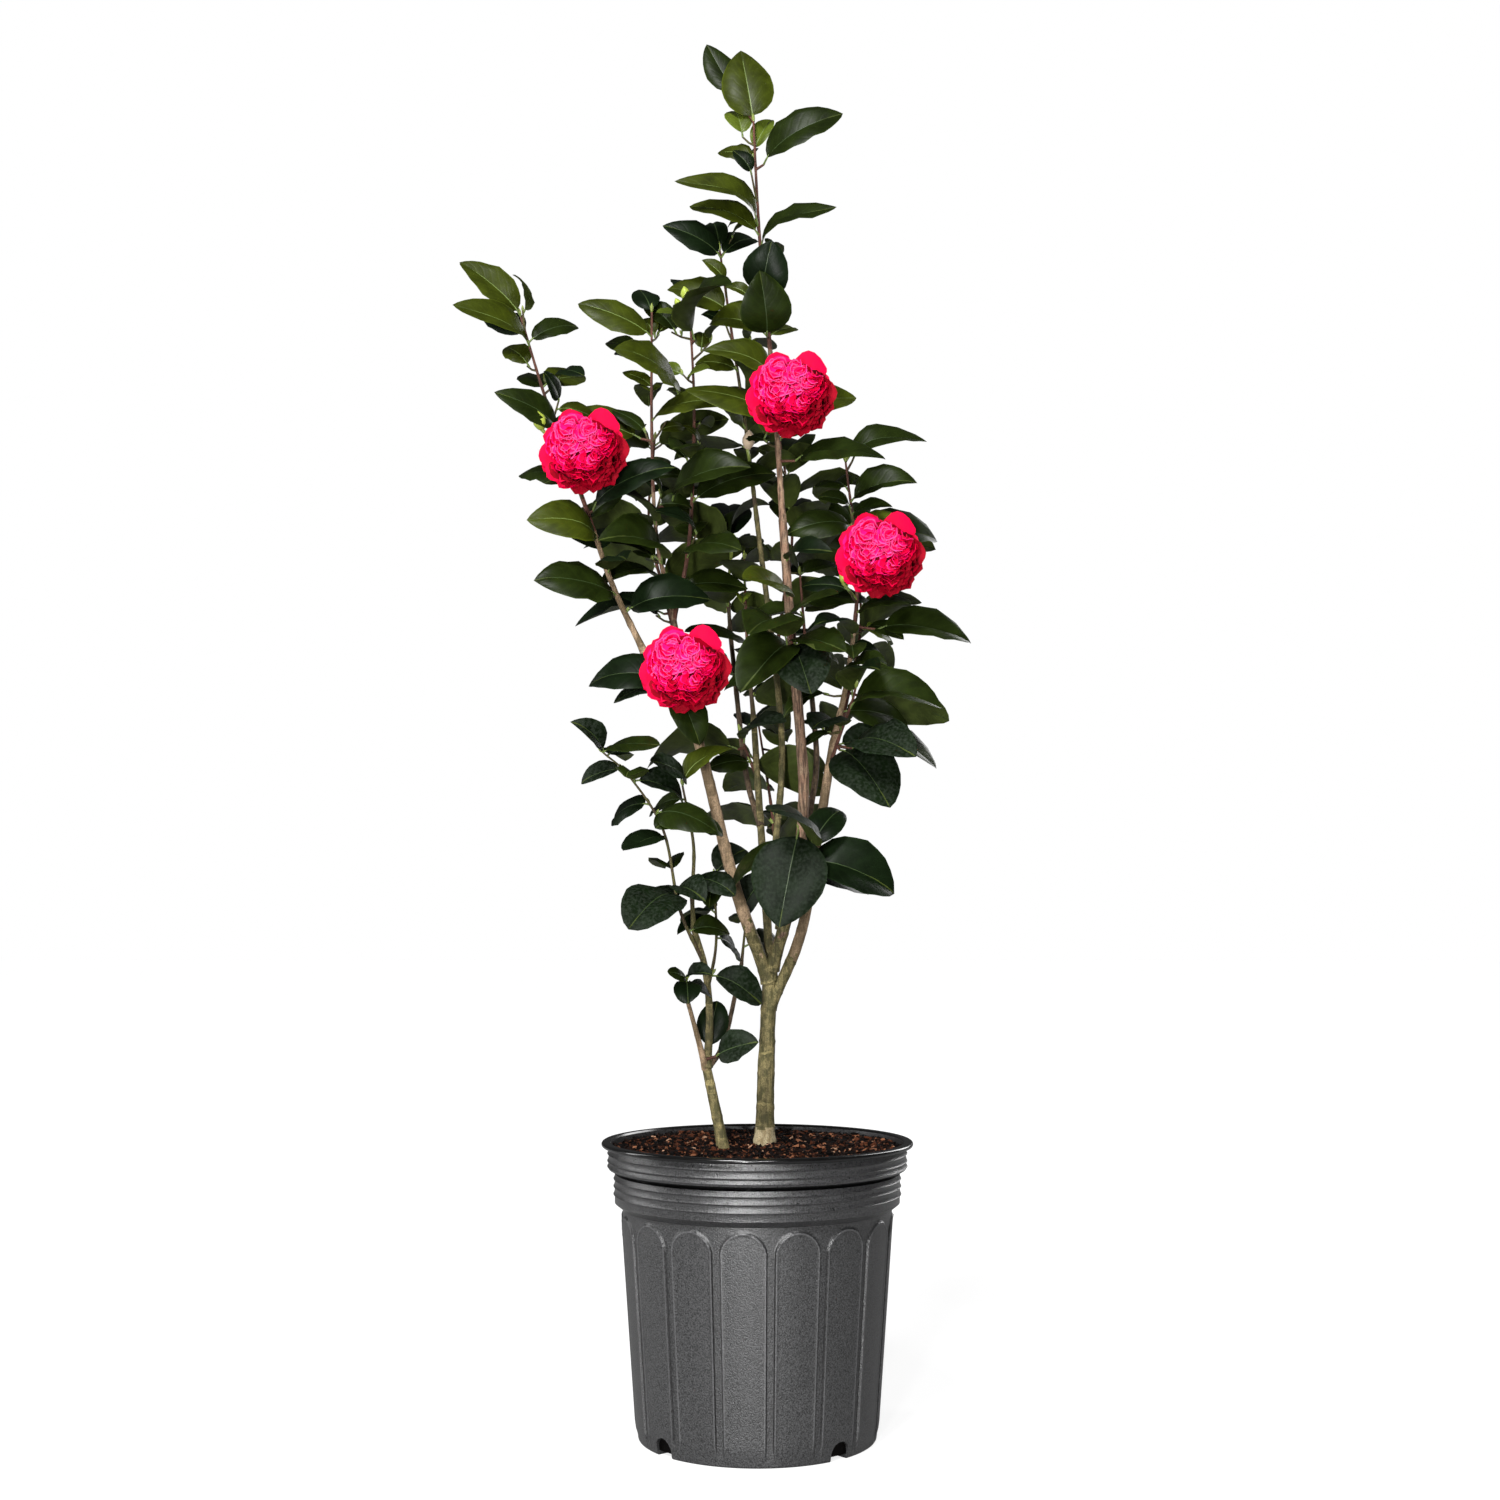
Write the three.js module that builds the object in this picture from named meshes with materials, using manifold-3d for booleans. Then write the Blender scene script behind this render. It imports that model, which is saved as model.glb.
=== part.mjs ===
// Camellia shrub in its nursery pot, in millimetres, +Z up, +X to the viewer's right.
// The origin is the centre of the pot's flat underside, and the viewer looks along +Y.

import * as THREE from "three";
import { mergeVertices } from "three/addons/utils/BufferGeometryUtils.js";
import Module from "manifold-3d";

const wasm = await Module();
wasm.setup();

// Pot: a blow-moulded nursery can with two ribbed bands and arched panels on a tapering body.
const POT_HEIGHT = 238;
const POT_SEGMENTS = 32;
const WALL = 2.2;
const FLOOR = 3;
const FOOT_RADIUS = 97;
const FOOT_ROUND = 2;
const BODY_TOP = 184;
const BODY_TOP_RADIUS = 110.5;
const LOWER_BAND_TOP = 208;
const LOWER_BAND_RADIUS = 117;
const UPPER_BAND_TOP = 234;
const UPPER_BAND_RADIUS = 122;
const RIB_RISE = 1.6;
const RIB_CREST = 0.3;
const RIB_HOLLOW = 0.9;
const RIBS_PER_BAND = 2;
const LIP_RADIUS = 128;
const LIP_DROP = 4;
const LIP_ROUND = 1;
const BAND_STEP = 4;
const PANEL_COUNT = 16;
const PANEL_ANGLE = 18.9;
const PANEL_TURN = -5.9;
const PANEL_RISE = 2.6;
const PANEL_FOOT = 9;
const PANEL_TOP = 180;
const PANEL_SINK = 1;
const DRAIN_COUNT = 4;
const DRAIN_TURN = 41;
const DRAIN_WIDTH = 18;
const DRAIN_HEIGHT = 15;
const DRAIN_FOOT = -1;
const BAR_INNER = 80;
const BAR_LENGTH = 70;
const ARCH_SEGMENTS = 3;

// Potting bark, filled almost to the lip.
const SOIL_TOP = 230;

// Clearance between neighbouring pieces.
const GAP = 0.3;

// Limbs: the points that each one passes, its radius at the foot and at the tip, and the swell
// of a stem at the bark. A stem runs on into the bark and is cut off level with it.
const STOUT_SIDES = 8;
const SLIM_SIDES = 6;
const STOUT_RADIUS = 4.5;
const LIMB_STEP = 38;
const FEWEST_STEPS = 3;
const FLARE_REACH = 14;
const STEM_SINK = 6;
const BLOCK_DEPTH = 60;
const LIMBS = [
  { name: "main_stem", way: [[6, 9, 230], [7, 8, 282], [9, 6, 336], [11, 4, 382]],
    radii: [7.8, 6], flare: 3.4 },
  { name: "second_stem", way: [[-26, -18, 230], [-33, -20, 260], [-42, -22, 302]],
    radii: [4.6, 3.8], flare: 2 },
  { name: "dead_snag", way: [[-42, -22, 298], [-49, -32, 326], [-56, -40, 352]], radii: [2.6, 1.7] },
  { name: "second_upright", way: [[-41, -22, 299], [-39, -20, 340], [-43, -20, 380], [-52, -30, 412]],
    radii: [3.4, 2.4] },
  { name: "second_side", way: [[-41, -22, 297], [-27, -10, 320], [-13, 18, 382]], radii: [2.2, 1.7] },
  { name: "bough_right", way: [[10, 5, 346], [36, 0, 407], [51, 0, 490], [64, 6, 567]], radii: [4.8, 3.6] },
  { name: "bough_left", way: [[10, 4, 368], [-18, -14, 445], [-43, -22, 545], [-60, -17, 596],
    [-95, -8, 643]], radii: [5.4, 3.8] },
  { name: "bough_leader", way: [[12, 3, 378], [30, -17, 445], [38, -29, 525], [28, -37, 650],
    [21, -32, 749]], radii: [5, 3.4] },
  { name: "bough_centre", way: [[11, 6, 374], [7, 22, 440], [2, 38, 515], [-3, 52, 594]],
    radii: [3.8, 2.6] },
  { name: "bough_inner_left", way: [[-55, -19, 588], [-64, 2, 636], [-74, 18, 691]], radii: [3, 2.4] },
  { name: "bough_centre_side", way: [[3, 34, 498], [-10, 56, 548], [-23, 82, 667]], radii: [2.6, 2] },
  { name: "bough_back_centre", way: [[19, -4, 412], [16, 26, 480], [21, 44, 580], [0, 42, 763]],
    radii: [3.2, 2.2] },
  { name: "bough_back_right", way: [[36, -25, 480], [46, -2, 520], [50, 12, 556], [46, 24, 615]],
    radii: [2.8, 2.2] },
];

// Foliage: each mass has one stem, which goes on from a limb's tip or leaves its side at the
// height `at`. `reach` is where the tips of its outermost leaves come to, and the rest of its
// leaves follow the spiral rule. `size` is the relative size of the leaves near the ground.
const MASSES = [
  { name: "foliage_top", on: "bough_leader", radii: [3.2, 1.2], bloom: [28, -62, 847],
    way: [[16, -22, 831], [11, -14, 897], [2, -4, 1000], [-3, 0, 1100]],
    reach: [[-14, 24, 1174], [-44, 34, 1184], [73, -14, 1102], [-70, -14, 1043], [67, -24, 1017],
      [-58, 8, 1029], [0, -66, 930], [34, 22, 925], [-45, -40, 889], [84, -6, 858], [104, -66, 792],
      [61, -66, 716], [-12, -88, 690]] },
  { name: "foliage_back_high", on: "bough_back_centre",
    way: [[-10, 34, 845], [-22, 26, 925], [-32, 16, 993]],
    reach: [[-81, 8, 1012], [-39, 40, 1025], [0, 54, 1013], [-78, 34, 964], [14, 84, 925]] },
  { name: "foliage_left_high", on: "bough_inner_left",
    way: [[-86, 24, 745], [-90, 20, 830], [-90, 8, 936]],
    reach: [[-153, 6, 943], [-102, 40, 966], [-122, 60, 918], [-132, -34, 731]] },
  { name: "foliage_inner_left", on: "bough_inner_left", at: 672,
    way: [[-58, 22, 740], [-54, 26, 850], [-58, 18, 945]],
    reach: [[-119, -44, 889], [-20, -38, 940], [-50, 60, 976], [-31, -16, 791]] },
  { name: "foliage_left", on: "bough_left", radii: [3.4, 1.1], bloom: [-143, -40, 805],
    way: [[-121, -4, 698], [-148, 2, 775], [-178, 6, 855], [-201, 0, 930]],
    reach: [[-253, -4, 976], [-253, -26, 928], [-154, 26, 928], [-149, 40, 889], [-205, 30, 799],
      [-190, -40, 747], [-184, -38, 697], [-126, -20, 674]] },
  { name: "foliage_spur", on: "bough_left", at: 604, radii: [2, 1.4], bloom: [-58, -62, 621],
    way: [[-70, -30, 612], [-72, -40, 618]],
    reach: [[-140, -30, 612], [-118, -48, 596], [-47, -40, 561]] },
  { name: "foliage_right_high", on: "bough_right", radii: [3.2, 1.1], bloom: [102, -36, 719],
    way: [[77, 14, 627], [85, 8, 709], [75, 2, 805]],
    reach: [[144, 4, 823], [55, 36, 823], [134, -16, 783], [155, 40, 745], [131, -20, 681],
      [104, 30, 644]] },
  { name: "foliage_right_low", on: "bough_right", at: 548, radii: [2, 1.2],
    way: [[70, -8, 575], [78, -20, 597], [81, -28, 609]],
    reach: [[126, -84, 548], [146, -40, 542], [150, -50, 590], [107, -56, 509], [44, -60, 572]] },
  { name: "foliage_right_back", on: "bough_back_right",
    way: [[42, 30, 648], [37, 36, 714]],
    reach: [[12, 90, 736], [72, 96, 724], [75, 92, 621]] },
  { name: "foliage_front", on: "bough_leader", at: 640, radii: [1.8, 1.3],
    way: [[28, -54, 644], [24, -72, 656]],
    reach: [[42, -104, 596], [-8, -104, 639], [70, -100, 630], [-14, -108, 598], [64, -104, 676]] },
  { name: "foliage_low_front", on: "bough_leader", at: 452, radii: [2, 1.4],
    way: [[35, -36, 462], [42, -56, 474]],
    reach: [[20, -84, 406], [111, -70, 440], [7, -92, 504], [69, -24, 508]] },
  { name: "foliage_centre", on: "bough_centre",
    way: [[-8, 62, 650], [-11, 62, 732]],
    reach: [[12, 100, 738], [-26, 110, 668], [16, 100, 613]] },
  { name: "foliage_centre_low", on: "bough_centre", at: 540, radii: [1.8, 1.2],
    way: [[-8, 50, 560], [-14, 56, 580]],
    reach: [[-42, 30, 547], [28, 110, 578]] },
  { name: "foliage_bud", on: "bough_centre_side",
    way: [[-25, 84, 703], [-23, 82, 748]],
    reach: [[-84, 40, 771], [12, 110, 790], [-26, 130, 799], [-38, 24, 699]] },
  { name: "foliage_second", on: "second_upright", size: 0.8,
    way: [[-53, -36, 440], [-52, -37, 480], [-61, -40, 528]],
    reach: [[-86, -74, 546], [-18, -48, 558], [-82, -66, 492], [-28, 10, 487]] },
  { name: "foliage_arch", on: "second_upright", at: 384, radii: [2, 0.9], size: 0.65,
    way: [[-63, -42, 428], [-76, -50, 491], [-103, -60, 534], [-124, -66, 553]],
    reach: [[-149, -84, 576], [-77, -90, 557], [-93, -78, 415], [-100, -116, 412]] },
  { name: "foliage_second_back", on: "second_upright", at: 362, radii: [1.8, 1], size: 0.7,
    way: [[-34, -4, 400], [-36, 4, 456]],
    reach: [[-10, 30, 478], [-57, 44, 410]] },
  { name: "foliage_snag", on: "dead_snag", radii: [1.5, 1], size: 0.55,
    way: [[-57, -46, 371]],
    reach: [[-72, -60, 378], [-55, -88, 353], [-36, -60, 375]] },
  { name: "foliage_side", on: "second_side", radii: [1.6, 0.9], size: 0.6,
    way: [[-9, 30, 423]],
    reach: [[11, 40, 459], [-28, 70, 453]] },
  { name: "foliage_behind_left", on: "bough_inner_left", at: 640, radii: [2.2, 1.1],
    way: [[-80, 46, 700], [-96, 92, 770], [-92, 112, 850]], reach: [] },
  { name: "foliage_behind_middle", on: "bough_back_centre", at: 640, radii: [2.2, 1.1],
    way: [[24, 84, 700], [32, 116, 770], [20, 124, 860]], reach: [] },
  { name: "foliage_behind_right", on: "bough_right", at: 545, radii: [2.2, 1.1],
    way: [[76, 44, 600], [92, 86, 680], [86, 108, 766]], reach: [] },
  { name: "foliage_behind_low", on: "bough_back_centre", at: 480, radii: [2, 1.1],
    way: [[12, 70, 520], [2, 116, 590]], reach: [] },
];

// Leaves: widths, thickness, bow and fold are shares of a leaf's length, and so are the two
// places between which it is broadest. A leaf that would be longer than LEAF_MOST has a stalk.
const LEAF_LENGTH = 64;
const LEAF_MOST = 80;
const LEAF_WIDTH = 0.51;
const LEAF_THICKNESS = 0.017;
const LEAF_BOW = 0.13;
const LEAF_FOLD = 0.08;
const BROAD_FROM = 0.28;
const BROAD_TO = 0.7;
const LEAF_MIDDLE = 0.6;
const LEAF_SPACING = 24;
const LEAF_PITCH = 15;
const TIP_LEAVES = 3;
const TIP_SHIFTS = [0, -14, 14, -28, 28, -42, 42];
const FACE_LEANS = [1.2, 0.5, 0.9];
const BACK_LINE = 45;
const ROOT = 2;

// The spiral rule: the turn from one leaf to the next and the share of the stem that is left
// bare at its foot. Leaves point up near the top, lie level at LEVEL_HEIGHT and droop below it.
// Up to TWIG_TOP of the stem's length, one leaf in TWIG_EVERY stands on a side twig.
const SPIRAL = THREE.MathUtils.degToRad(137.5);
const BARE_SHARE = 0.15;
const BARE_LENGTH = 14;
const LEVEL_HEIGHT = 620;
const RISE_PER_HEIGHT = 0.0013;
const RISE_SPREAD = 0.3;
const SIZE_SPREAD = 0.22;
const TWIG_EVERY = 4;
const TWIG_TOP = 0.6;
const TWIG_REACH = 22;
const SEED = 1201;
const SEED_STEP = 97;

// Twigs
const TWIG_SIDES = 3;
const TWIG_THICK = 1.3;
const TWIG_THIN = 0.9;
const STEM_RADII = [2.4, 1.1];

// Blooms: a cushion of curled petals with a lobed rim.
const BLOOM_RADIUS = 38;
const BLOOM_DEPTH = 25;
const BLOOM_LOBES = 5;
const BLOOM_RINGS = 6;
const LOBE_SWELL = 0.08;
const BLOOM_STALK_DROP = 20;
const BLOOM_STALK = [2.4, 2.8];

const CURVE_SAMPLES = 80;
const MERGE_DISTANCE = 1e-4;

const solids = new Map();
const curves = new Map();
const limbRooms = [];

// Turns a closed three.js geometry into a solid that can be joined and cut.
function toSolid(geometry) {
  geometry.deleteAttribute("normal");
  geometry.deleteAttribute("uv");
  const merged = mergeVertices(geometry, MERGE_DISTANCE);
  const vertProperties = new Float32Array(merged.attributes.position.array);
  const triVerts = new Uint32Array(merged.index.array);
  return new wasm.Manifold(new wasm.Mesh({ numProp: 3, vertProperties, triVerts }));
}

// Gives a solid back as a geometry.
function toGeometry(solid) {
  const mesh = solid.getMesh();
  const places = new Float32Array(mesh.vertProperties);
  const geometry = new THREE.BufferGeometry();
  geometry.setAttribute("position", new THREE.BufferAttribute(places, 3));
  geometry.setIndex(Array.from(mesh.triVerts));
  return geometry;
}

function vec(point) {
  return new THREE.Vector3(...point);
}

// A small seeded generator, so that the plant grows the same way each time.
function seeded(seed) {
  const multiplier = 16807;
  const modulus = 2147483647;
  let state = seed;
  return () => {
    state = (state * multiplier) % modulus;
    return state / modulus;
  };
}

function smoothCurve(points) {
  return new THREE.CatmullRomCurve3(points, false, "catmullrom", 0.5);
}

// The point of a curve that lies nearest a height, from a share of its length onwards.
function pointAtHeight(curve, height, from = 0) {
  let best = curve.getPoint(from);
  for (let i = 1; i <= CURVE_SAMPLES; i += 1) {
    const point = curve.getPoint(THREE.MathUtils.lerp(from, 1, i / CURVE_SAMPLES));
    if (Math.abs(point.z - height) < Math.abs(best.z - height)) best = point;
  }
  return best;
}

// The largest connected part of a solid, which drops any scrap that a cut leaves.
function mainBody(solid) {
  const bodies = solid.decompose();
  return bodies.reduce((best, body) => (body.volume() > best.volume() ? body : best), bodies[0]);
}

function boxesMeet(a, b) {
  const one = a.boundingBox();
  const two = b.boundingBox();
  const meetAlong = (axis) => one.min[axis] <= two.max[axis] && two.min[axis] <= one.max[axis];
  return [0, 1, 2].every(meetAlong);
}

function touches(solid, others) {
  return others.some((other) => boxesMeet(solid, other) && !solid.intersect(other).isEmpty());
}

function cutBy(solid, cutters) {
  let left = solid;
  for (const cutter of cutters) {
    if (boxesMeet(left, cutter)) left = left.subtract(cutter);
  }
  return left;
}

// A tapering round limb along a curve: a closed cylinder, bent to follow it.
function limbSolid(curve, radiusAt, sides, steps, grow = 0) {
  const frames = curve.computeFrenetFrames(steps);
  const geometry = new THREE.CylinderGeometry(1, 1, 1, sides, steps);
  const position = geometry.attributes.position;
  for (let i = 0; i < position.count; i += 1) {
    const ring = Math.round((position.getY(i) + 0.5) * steps);
    const along = ring / steps;
    const radius = radiusAt(along) + grow;
    const place = curve.getPointAt(along)
      .addScaledVector(frames.normals[ring], position.getX(i) * radius)
      .addScaledVector(frames.binormals[ring], -position.getZ(i) * radius);
    if (ring === 0) place.addScaledVector(frames.tangents[ring], -grow);
    if (ring === steps) place.addScaledVector(frames.tangents[ring], grow);
    position.setXYZ(i, place.x, place.y, place.z);
  }
  return toSolid(geometry);
}

function taper(radii, length, flare = 0) {
  return (along) => {
    const swell = flare * Math.exp((-along * length) / FLARE_REACH);
    return THREE.MathUtils.lerp(radii[0], radii[1], along) + swell;
  };
}

// A straight twig between two points.
function twigSolid(start, end, thick, thin) {
  const radiusAt = (along) => THREE.MathUtils.lerp(thick, thin, along);
  return limbSolid(new THREE.LineCurve3(start, end), radiusAt, TWIG_SIDES, 1);
}

// The body of a part that is round about the upright axis, from its outline.
function turned(outline) {
  const points = outline.map(([radius, height]) => new THREE.Vector2(radius, height));
  const geometry = new THREE.LatheGeometry(points, POT_SEGMENTS);
  geometry.rotateX(Math.PI / 2);
  return toSolid(geometry);
}

// A band of shallow ribs, as outline points from its foot to its top.
function ribbed(radius, foot, top) {
  const pitch = (top - foot) / RIBS_PER_BAND;
  const outline = [];
  for (let i = 0; i < RIBS_PER_BAND; i += 1) {
    outline.push([radius + RIB_RISE, foot + (i + RIB_CREST) * pitch]);
    outline.push([radius, foot + (i + RIB_HOLLOW) * pitch]);
  }
  return outline;
}

// A slot with an arched top that runs out through the wall, for a panel or a drain hole.
function archedBar(footHalf, topHalf, foot, top, angle) {
  const shape = new THREE.Shape();
  shape.moveTo(-footHalf, foot);
  shape.lineTo(footHalf, foot);
  shape.lineTo(topHalf, top - topHalf);
  shape.absarc(0, top - topHalf, topHalf, 0, Math.PI, false);
  shape.lineTo(-footHalf, foot);
  const geometry = new THREE.ExtrudeGeometry(shape, {
    depth: BAR_LENGTH,
    bevelEnabled: false,
    curveSegments: ARCH_SEGMENTS,
  });
  geometry.translate(0, 0, BAR_INNER);
  geometry.rotateX(Math.PI / 2);
  geometry.rotateZ(THREE.MathUtils.degToRad(angle));
  return toSolid(geometry);
}

function bodyRadius(height) {
  return THREE.MathUtils.lerp(FOOT_RADIUS, BODY_TOP_RADIUS, height / BODY_TOP);
}

function buildPot() {
  const innerFoot = bodyRadius(FLOOR) - WALL;
  const innerTop = BODY_TOP_RADIUS - WALL;
  let pot = turned([
    [0, 0],
    [FOOT_RADIUS - FOOT_ROUND, 0],
    [FOOT_RADIUS, FOOT_ROUND],
    [BODY_TOP_RADIUS, BODY_TOP],
    ...ribbed(LOWER_BAND_RADIUS, BODY_TOP + BAND_STEP, LOWER_BAND_TOP),
    [LOWER_BAND_RADIUS, LOWER_BAND_TOP],
    ...ribbed(UPPER_BAND_RADIUS, LOWER_BAND_TOP + BAND_STEP, UPPER_BAND_TOP),
    [LIP_RADIUS - LIP_ROUND, POT_HEIGHT - LIP_DROP],
    [LIP_RADIUS, POT_HEIGHT - LIP_DROP / 2],
    [LIP_RADIUS - LIP_ROUND, POT_HEIGHT],
    [UPPER_BAND_RADIUS - WALL, POT_HEIGHT],
    [UPPER_BAND_RADIUS - WALL, LOWER_BAND_TOP + BAND_STEP],
    [LOWER_BAND_RADIUS - WALL, LOWER_BAND_TOP],
    [LOWER_BAND_RADIUS - WALL, BODY_TOP + BAND_STEP],
    [innerTop, BODY_TOP],
    [innerFoot, FLOOR],
    [0, FLOOR],
  ]);
  const skin = turned([
    [bodyRadius(PANEL_FOOT) - PANEL_SINK, PANEL_FOOT],
    [bodyRadius(PANEL_FOOT) + PANEL_RISE, PANEL_FOOT],
    [bodyRadius(PANEL_TOP) + PANEL_RISE, PANEL_TOP],
    [bodyRadius(PANEL_TOP) - PANEL_SINK, PANEL_TOP],
    [bodyRadius(PANEL_FOOT) - PANEL_SINK, PANEL_FOOT],
  ]);
  const halfAngle = THREE.MathUtils.degToRad(PANEL_ANGLE / 2);
  const footHalf = bodyRadius(PANEL_FOOT) * Math.sin(halfAngle);
  const topHalf = bodyRadius(PANEL_TOP) * Math.sin(halfAngle);
  for (let i = 0; i < PANEL_COUNT; i += 1) {
    const angle = PANEL_TURN + (360 / PANEL_COUNT) * i;
    const bar = archedBar(footHalf, topHalf, PANEL_FOOT, PANEL_TOP, angle);
    pot = pot.add(skin.intersect(bar));
  }
  for (let i = 0; i < DRAIN_COUNT; i += 1) {
    const angle = DRAIN_TURN + (360 / DRAIN_COUNT) * i;
    const half = DRAIN_WIDTH / 2;
    pot = pot.subtract(archedBar(half, half, DRAIN_FOOT, DRAIN_HEIGHT, angle));
  }
  solids.set("pot", pot);
}

function buildSoil() {
  const room = WALL + GAP;
  solids.set("soil", turned([
    [0, FLOOR + GAP],
    [bodyRadius(FLOOR) - room - GAP, FLOOR + GAP],
    [BODY_TOP_RADIUS - room, BODY_TOP],
    [LOWER_BAND_RADIUS - room, BODY_TOP + BAND_STEP + GAP],
    [LOWER_BAND_RADIUS - room, LOWER_BAND_TOP],
    [UPPER_BAND_RADIUS - room, LOWER_BAND_TOP + BAND_STEP + GAP],
    [UPPER_BAND_RADIUS - room, SOIL_TOP],
    [0, SOIL_TOP],
  ]));
}

// A block that reaches up to the bark, which cuts the stems off level.
function groundBlock() {
  const block = new THREE.BoxGeometry(2 * LIP_RADIUS, 2 * LIP_RADIUS, BLOCK_DEPTH);
  block.translate(0, 0, SOIL_TOP + GAP - BLOCK_DEPTH / 2);
  return toSolid(block);
}

function buildLimb(limb) {
  const points = limb.way.map(vec);
  const rooted = points[0].z === SOIL_TOP;
  if (rooted) points[0].z -= STEM_SINK;
  const curve = smoothCurve(points);
  const length = curve.getLength();
  const steps = Math.max(FEWEST_STEPS, Math.round(length / LIMB_STEP));
  const radiusAt = taper(limb.radii, length, limb.flare);
  const sides = limb.radii[0] > STOUT_RADIUS ? STOUT_SIDES : SLIM_SIDES;
  const cutters = rooted ? [groundBlock()] : limbRooms;
  const solid = cutBy(limbSolid(curve, radiusAt, sides, steps), cutters);
  curves.set(limb.name, curve);
  solids.set(limb.name, mainBody(solid));
  limbRooms.push(limbSolid(curve, radiusAt, sides, steps, GAP));
}

// The cross-sections of a leaf, each as its place along the leaf and the half width and depth
// of its three-sided section. Where the leaf has a stalk, the first two are a twig's.
function leafRings(length, stalk, grow) {
  const blade = length - stalk;
  const edgeReach = Math.sin((2 * Math.PI) / TWIG_SIDES);
  const half = (blade * LEAF_WIDTH) / (2 * edgeReach) + grow;
  const thick = (blade * LEAF_THICKNESS * 2) / TWIG_SIDES + grow;
  const twig = stalk === 0 ? [] : [[ROOT, TWIG_THICK], [stalk, TWIG_THIN]];
  return [
    [0, 0, 0],
    ...twig.map(([along, radius]) => [along, radius + grow, radius + grow]),
    [stalk + BROAD_FROM * blade, half, thick],
    [stalk + BROAD_TO * blade, half, thick],
    [length, 0, 0],
  ];
}

// A leaf from its foot to its tip: a blade with a keel under its midrib, its edges raised and
// its length bowed over. Its face looks up, and leans to the front.
function leafSolid(foot, tip, stalk, lean, grow = 0) {
  const chord = tip.clone().sub(foot);
  const length = chord.length();
  chord.normalize();
  const face = new THREE.Vector3(0, -lean, 1);
  face.addScaledVector(chord, -face.dot(chord)).normalize();
  const side = new THREE.Vector3().crossVectors(chord, face);
  const blade = length - stalk;
  const rings = leafRings(length, stalk, grow);
  const segments = rings.length - 1;
  const geometry = new THREE.SphereGeometry(1, TWIG_SIDES, segments);
  const position = geometry.attributes.position;
  for (let i = 0; i < position.count; i += 1) {
    const polar = Math.acos(position.getY(i));
    const ring = Math.round((polar / Math.PI) * segments);
    const atPole = ring === 0 || ring === segments;
    const unit = atPole ? 0 : 1 / Math.sin(polar);
    const [along, width, depth] = rings[ring];
    const across = position.getZ(i) * unit * width;
    const share = Math.max(along - stalk, 0) / blade;
    const fold = share > 0 ? LEAF_FOLD * Math.abs(across) : 0;
    const lift = position.getX(i) * unit * depth + fold + LEAF_BOW * blade * 4 * share * (1 - share);
    const place = foot.clone()
      .addScaledVector(chord, along)
      .addScaledVector(side, across)
      .addScaledVector(face, lift);
    position.setXYZ(i, place.x, place.y, place.z);
  }
  return toSolid(geometry);
}

// A bloom that faces the viewer: a ruffled, lobed cushion, broad in front of its stalk.
function bloomSolid(centre) {
  const geometry = new THREE.SphereGeometry(1, BLOOM_LOBES * 3, BLOOM_RINGS);
  const position = geometry.attributes.position;
  for (let i = 0; i < position.count; i += 1) {
    const x = position.getX(i);
    const z = position.getZ(i);
    const lobe = 1 + LOBE_SWELL * Math.cos(BLOOM_LOBES * Math.atan2(x, z));
    const radius = BLOOM_RADIUS * lobe / (1 + LOBE_SWELL);
    position.setXYZ(i, x * radius, position.getY(i) * BLOOM_DEPTH, z * radius);
  }
  geometry.translate(...centre);
  return toSolid(geometry);
}

// The stem of a mass, with its bloom if it has one.
function buildStem(mass) {
  const parent = curves.get(mass.on);
  const start = mass.at ? pointAtHeight(parent, mass.at) : parent.getPoint(1);
  const curve = smoothCurve([start, ...mass.way.map(vec)]);
  const length = curve.getLength();
  const steps = Math.max(FEWEST_STEPS - 1, Math.round(length / LIMB_STEP));
  const radiusAt = taper(mass.radii ?? STEM_RADII, length);
  let solid = limbSolid(curve, radiusAt, TWIG_SIDES, steps);
  if (mass.bloom) {
    const centre = vec(mass.bloom);
    const foot = pointAtHeight(curve, centre.z - BLOOM_STALK_DROP);
    solid = solid.add(twigSolid(foot, centre, ...BLOOM_STALK)).add(bloomSolid(centre));
  }
  curves.set(mass.name, curve);
  solids.set(mass.name, mainBody(cutBy(solid, limbRooms)));
}

// Adds one leaf to a mass, on a twig where the tip is far from the stem. It gives false where
// the leaf would touch a limb or another mass.
function addLeaf(mass, foot, tip, index) {
  const dir = tip.clone().sub(foot);
  const back = foot.y + tip.y > 2 * BACK_LINE;
  const lean = FACE_LEANS[index % FACE_LEANS.length] * (back ? -1 : 1);
  const stalk = dir.length() > LEAF_MOST ? dir.length() - LEAF_LENGTH : 0;
  dir.normalize();
  const masses = MASSES.filter((other) => other !== mass).map((other) => solids.get(other.name));
  const off = (distance) => foot.clone().addScaledVector(dir, distance);
  if (touches(leafSolid(off(-ROOT), tip, stalk, lean, GAP), masses)) return false;
  if (touches(leafSolid(off(2 * ROOT), tip, stalk, lean, GAP), limbRooms)) return false;
  solids.set(mass.name, solids.get(mass.name).add(leafSolid(off(-ROOT), tip, stalk, lean)));
  return true;
}

// The share of a mass's stem that has no leaves, next to its limb.
function bareShare(curve) {
  return Math.max(BARE_SHARE, BARE_LENGTH / curve.getLength());
}

// How steeply a leaf rises at a height, in radians.
function riseAt(height) {
  return (height - LEVEL_HEIGHT) * RISE_PER_HEIGHT;
}

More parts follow.
